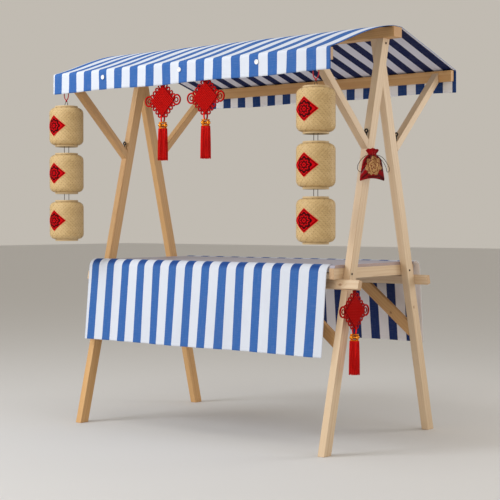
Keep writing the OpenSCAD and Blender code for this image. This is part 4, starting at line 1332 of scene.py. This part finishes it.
# Painted shade: darker in the valleys of the gathers and along the creases, near the foot towards the
# right-hand side, and on the right-hand side.
valley = np.clip(-gathers(height_share, across_share) * 1.6, 0, 1) + creases(aside, up)
valley = valley + np.clip((0.16 - height_share) / 0.14, 0, 1) * np.clip(across_share + 0.4, 0, 0.9)
valley = np.clip(valley + np.clip(across_share - 0.45, 0, 0.5), 0, 1)
give(pouch_bag.data, "valley", valley)


# Drawstring: one thin dark laid cord through the pouch's neck. It comes out at each side in a free
# loop that hangs beside the bag. The points are out from the pouch's middle, across it and up.
LEFT_LOOP = np.array([
    [9.5, -15.5, 125], [11, -19, 125], [13.5, -25, 124], [15, -31, 122], [15, -36.5, 119],
    [14.5, -42, 115], [13.5, -47, 111], [12.5, -51.5, 106.5], [11.5, -55.5, 101.5], [10, -59.5, 96],
    [8, -62.5, 90.5], [6.5, -65.5, 85], [4.5, -68, 79.5], [3, -69.5, 73], [0.5, -70, 67],
    [-1.5, -69.5, 61], [-4, -67, 55], [-6, -63, 50.5], [-8, -58, 47.5], [-11, -52, 47.5],
    [-13.5, -47, 51], [-15.5, -43.5, 56], [-16.5, -41.5, 62.5], [-17, -39, 68.5], [-17.5, -36.5, 74.5],
    [-18, -34.5, 80.5], [-18, -31.5, 86.5], [-18, -29, 92.5], [-17.5, -26, 98.5], [-17, -23, 104],
    [-15.5, -19.5, 109.5], [-13, -15.5, 116]]) / 1000
RIGHT_LOOP = np.array([
    [9.5, 15.5, 125], [12, 21, 125.5], [13.5, 26.5, 124.5], [14, 32.5, 122.5], [14, 38, 120],
    [14, 43, 117], [13.5, 48, 113.5], [13, 52.5, 109.5], [12.5, 56.5, 105], [12, 60, 100],
    [11, 63.5, 95], [10.5, 67, 90], [10.5, 70, 85], [10, 73.5, 80], [9.5, 76, 74.5], [9, 78.5, 69],
    [9, 80.5, 63.5], [9, 81.5, 57.5], [8.5, 80.5, 51.5], [8, 77.5, 46], [7.5, 72.5, 45],
    [7, 68.5, 49.5], [6.5, 67.5, 56.5], [6.5, 66.5, 63], [6, 64.5, 68.5], [6, 62, 74], [5.5, 59.5, 79.5],
    [5, 57, 85], [5, 53.5, 90], [4.5, 50, 95], [3.5, 46.5, 100], [3, 42.5, 104.5], [2, 38.5, 109],
    [1, 34.5, 113], [-0.5, 30, 117], [-1.5, 25, 120], [-3, 20, 123]]) / 1000
STRING_R = 0.0013
string_finish = cord_finish("dark_drawstring", colour(52, 16, 26), colour(24, 6, 12), 0.0035, 2)


def eased(points, steps):
    """A smooth line through the points: each stretch is a cubic whose slopes at its ends are half
    the way between the neighbours."""
    padded = np.concatenate([2 * points[:1] - points[1:2], points, 2 * points[-1:] - points[-2:-1]])
    before, first, second, after = (padded[k:len(points) - 1 + k] for k in range(4))
    at = (np.arange(steps) / steps)[:, None, None]
    curve = 0.5 * (2 * first + (second - before) * at
                   + (2 * before - 5 * first + 4 * second - after) * at ** 2
                   + (3 * (first - second) + after - before) * at ** 3)
    return np.concatenate([curve.swapaxes(0, 1).reshape(-1, 3), points[-1:]])


for end, loop, long in (("left", LEFT_LOOP, 0.202), ("right", RIGHT_LOOP, 0.218)):
    path = eased(swung(loop, POUCH_TURN, POUCH_AT), 3)
    string = Shape()
    cord_grid(string, path, STRING_R, (0.629, -0.777, 0.02), 10)
    piece = string.piece(f"drawstring_{end}_cord", [string_finish], "dark_cord",
                         [f"drawstring_{end}"])


# Screw eyes: black steel wire bent to a ring on a tapering threaded shank, turned into the joint
# between a leg and a roof brace.
steel = mottled("black_steel", {"Metallic": 0.1, "Specular IOR Level": 0.35}, (300, 300, 300),
                colour(18, 15, 14), colour(32, 27, 24), (0.4, 0.7), rough=(0.34, 0.3),
                bump=(0.0003, 0.4))
FOOT_Y = 0.4895
LEG_LEAN = 0.2472
LEG_HALF = 0.0288
EYE_R = 0.0078
EYE_LONG = 0.042
EYE_WIRE_R = 0.0038
EYE_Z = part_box("screw_eyes")[1][2] - 0.0105
THREAD_PITCH = 0.0016


def leg_out(z):
    """How far out a leg's middle stands from the line below the ridge, at a height."""
    return FOOT_Y - LEG_LEAN * z


eyes = Shape()
for x, way, proud in ((-0.787, -1, 0.004), (0.831, -1, 0.004), (-0.825, 1, 0.010),
                      (0.797, 1, 0.010)):
    y = way * (leg_out(EYE_Z - EYE_LONG) + LEG_HALF + proud)
    turn = np.radians(np.linspace(-80, 265, 29))
    ring = places(EYE_R * np.cos(turn), 0, EYE_Z + EYE_R * np.sin(turn))
    shank = places((0.0006, 0, 0, 0), 0, EYE_Z - np.array([0.0098, 0.014, 0.03, EYE_LONG]))
    radius = np.r_[np.full(31, EYE_WIRE_R), 0.0032, 0.0022]
    cord_grid(eyes, np.concatenate([ring, shank]) + [x, y, 0], radius, (0, 1, 0), 12)
    up = np.arange(0, 0.018, THREAD_PITCH / 4)
    groove = places(0.0019 + 0.0003 * np.cos(up * 2 * np.pi / THREAD_PITCH), EYE_Z - 0.040 + up)
    lathe(eyes, groove, (x, y, 0), 12)
eyes.piece("screw_eyes_wire", [steel], "black_steel", ["screw_eyes"])


# Bolts: small round black heads with a hexagon socket, sunk nearly flush where the table ends are
# bolted to the legs, and where the legs cross under the ridge beam.
BOLT_HEAD = np.array([(0.0, 0.0004), (0.0022, 0.0004), (0.0024, 0.0022), (0.0034, 0.0026),
                      (0.0046, 0.0021), (0.0054, 0.0010), (0.0056, -0.001)])
LEG_X = 0.806
LEG_HALF_THICK = 0.019
TABLE_BOLT_Z = 0.838
RIDGE_BOLT_X = 0.844
RIDGE_BOLT_Z = 1.955


def bolt(shape, centre, out_way):
    """A domed head with a sunk socket, turned about the line that points out of the board."""
    out_way = np.asarray(out_way, float)
    side = np.cross(out_way, (0.0, 0.3, 1.0))
    side /= np.linalg.norm(side)
    up_way = np.cross(out_way, side)
    angle = circle(24)
    radius = BOLT_HEAD[:, :1] * np.ones(24)
    flats = np.cos(np.pi / 6) / np.cos(angle % (np.pi / 3) - np.pi / 6)
    radius[1:3] *= flats
    ring = radius[..., None] * (np.cos(angle)[:, None] * side + np.sin(angle)[:, None] * up_way)
    points = np.asarray(centre) + ring + BOLT_HEAD[:, 1][:, None, None] * out_way
    shape.grid(points[::-1], wrapped(24, path_length(BOLT_HEAD))[::-1], around=True)


bolts = Shape()
for side, aside in ((-1, -0.012), (1, -0.005)):
    for end in (-1, 1):
        x = end * (LEG_X + LEG_HALF_THICK) - side * LEG_HALF_THICK
        bolt(bolts, (x, side * leg_out(TABLE_BOLT_Z) + end * aside, TABLE_BOLT_Z), (end, 0, 0))
for end in (1, -1):
    bolt(bolts, (end * RIDGE_BOLT_X, -end * leg_out(RIDGE_BOLT_Z), RIDGE_BOLT_Z), (end, 0, 0))
bolts.piece("bolt_heads", [steel], "black_steel", [])


# Floor: a plain pale floor, level with the feet and so wide that none of its edges is in view. It
# isn't part of the stall.
FLOOR_HALF = 40
floor_mesh = bpy.data.meshes.new("floor")
floor_mesh.from_pydata([(x * FLOOR_HALF, y * FLOOR_HALF, 0)
                        for x, y in ((-1, -1), (1, -1), (1, 1), (-1, 1))], [], [(0, 1, 2, 3)])
floor_finish = Finish("floor", {"Base Color": colour(214, 213, 212), "Roughness": 0.8})
floor_mesh.materials.append(floor_finish.material)
floor = in_scene("floor", floor_mesh)
floor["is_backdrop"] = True


# Light: a pale sky all round, a large soft lamp high at the front left, one low at the front, one
# above the roof, and two weak ones at the right and behind. Sizes are in metres, power in watts.
def soft_lamp(name, place, aim, size, watts, tint):
    """A square area lamp at a place, turned to an aim."""
    lamp = in_scene(name, bpy.data.lights.new(name, "AREA"))
    lamp.data.size = size
    lamp.data.energy = watts
    lamp.data.color = tint
    lamp.location = place
    way = np.asarray(aim, float) - np.asarray(place, float)
    lamp.rotation_euler = (
        np.arctan2(np.hypot(way[0], way[1]), -way[2]), 0, np.arctan2(way[0], -way[1]) + np.pi)


soft_lamp("key", (-2.6, -4.4, 4.0), (0, 0, 1.0), 2.4, 150, (0.89, 0.94, 1.0))
soft_lamp("front", (0.2, -6.0, 0.9), (0, 0, 1.4), 2.8, 92, (1.0, 0.97, 0.93))
soft_lamp("right", (3.6, -0.4, 2.9), (0.6, 0, 1.5), 2.0, 14, (1.0, 0.98, 0.96))
soft_lamp("top", (-0.4, -1.6, 5.4), (0, -0.3, 2.0), 2.4, 42, (0.94, 0.97, 1.0))
soft_lamp("back", (2.5, 2.3, 1.7), (0.7, 0.3, 1.0), 1.2, 22, (1.0, 0.97, 0.94))
world = bpy.data.worlds.new("sky")
bpy.context.scene.world = world
world.use_nodes = True
sky = world.node_tree.nodes["Background"]
sky.inputs["Color"].default_value = colour(232, 225, 214)
sky.inputs["Strength"].default_value = 0.66
bpy.context.scene.view_settings.view_transform = "Standard"

low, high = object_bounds()
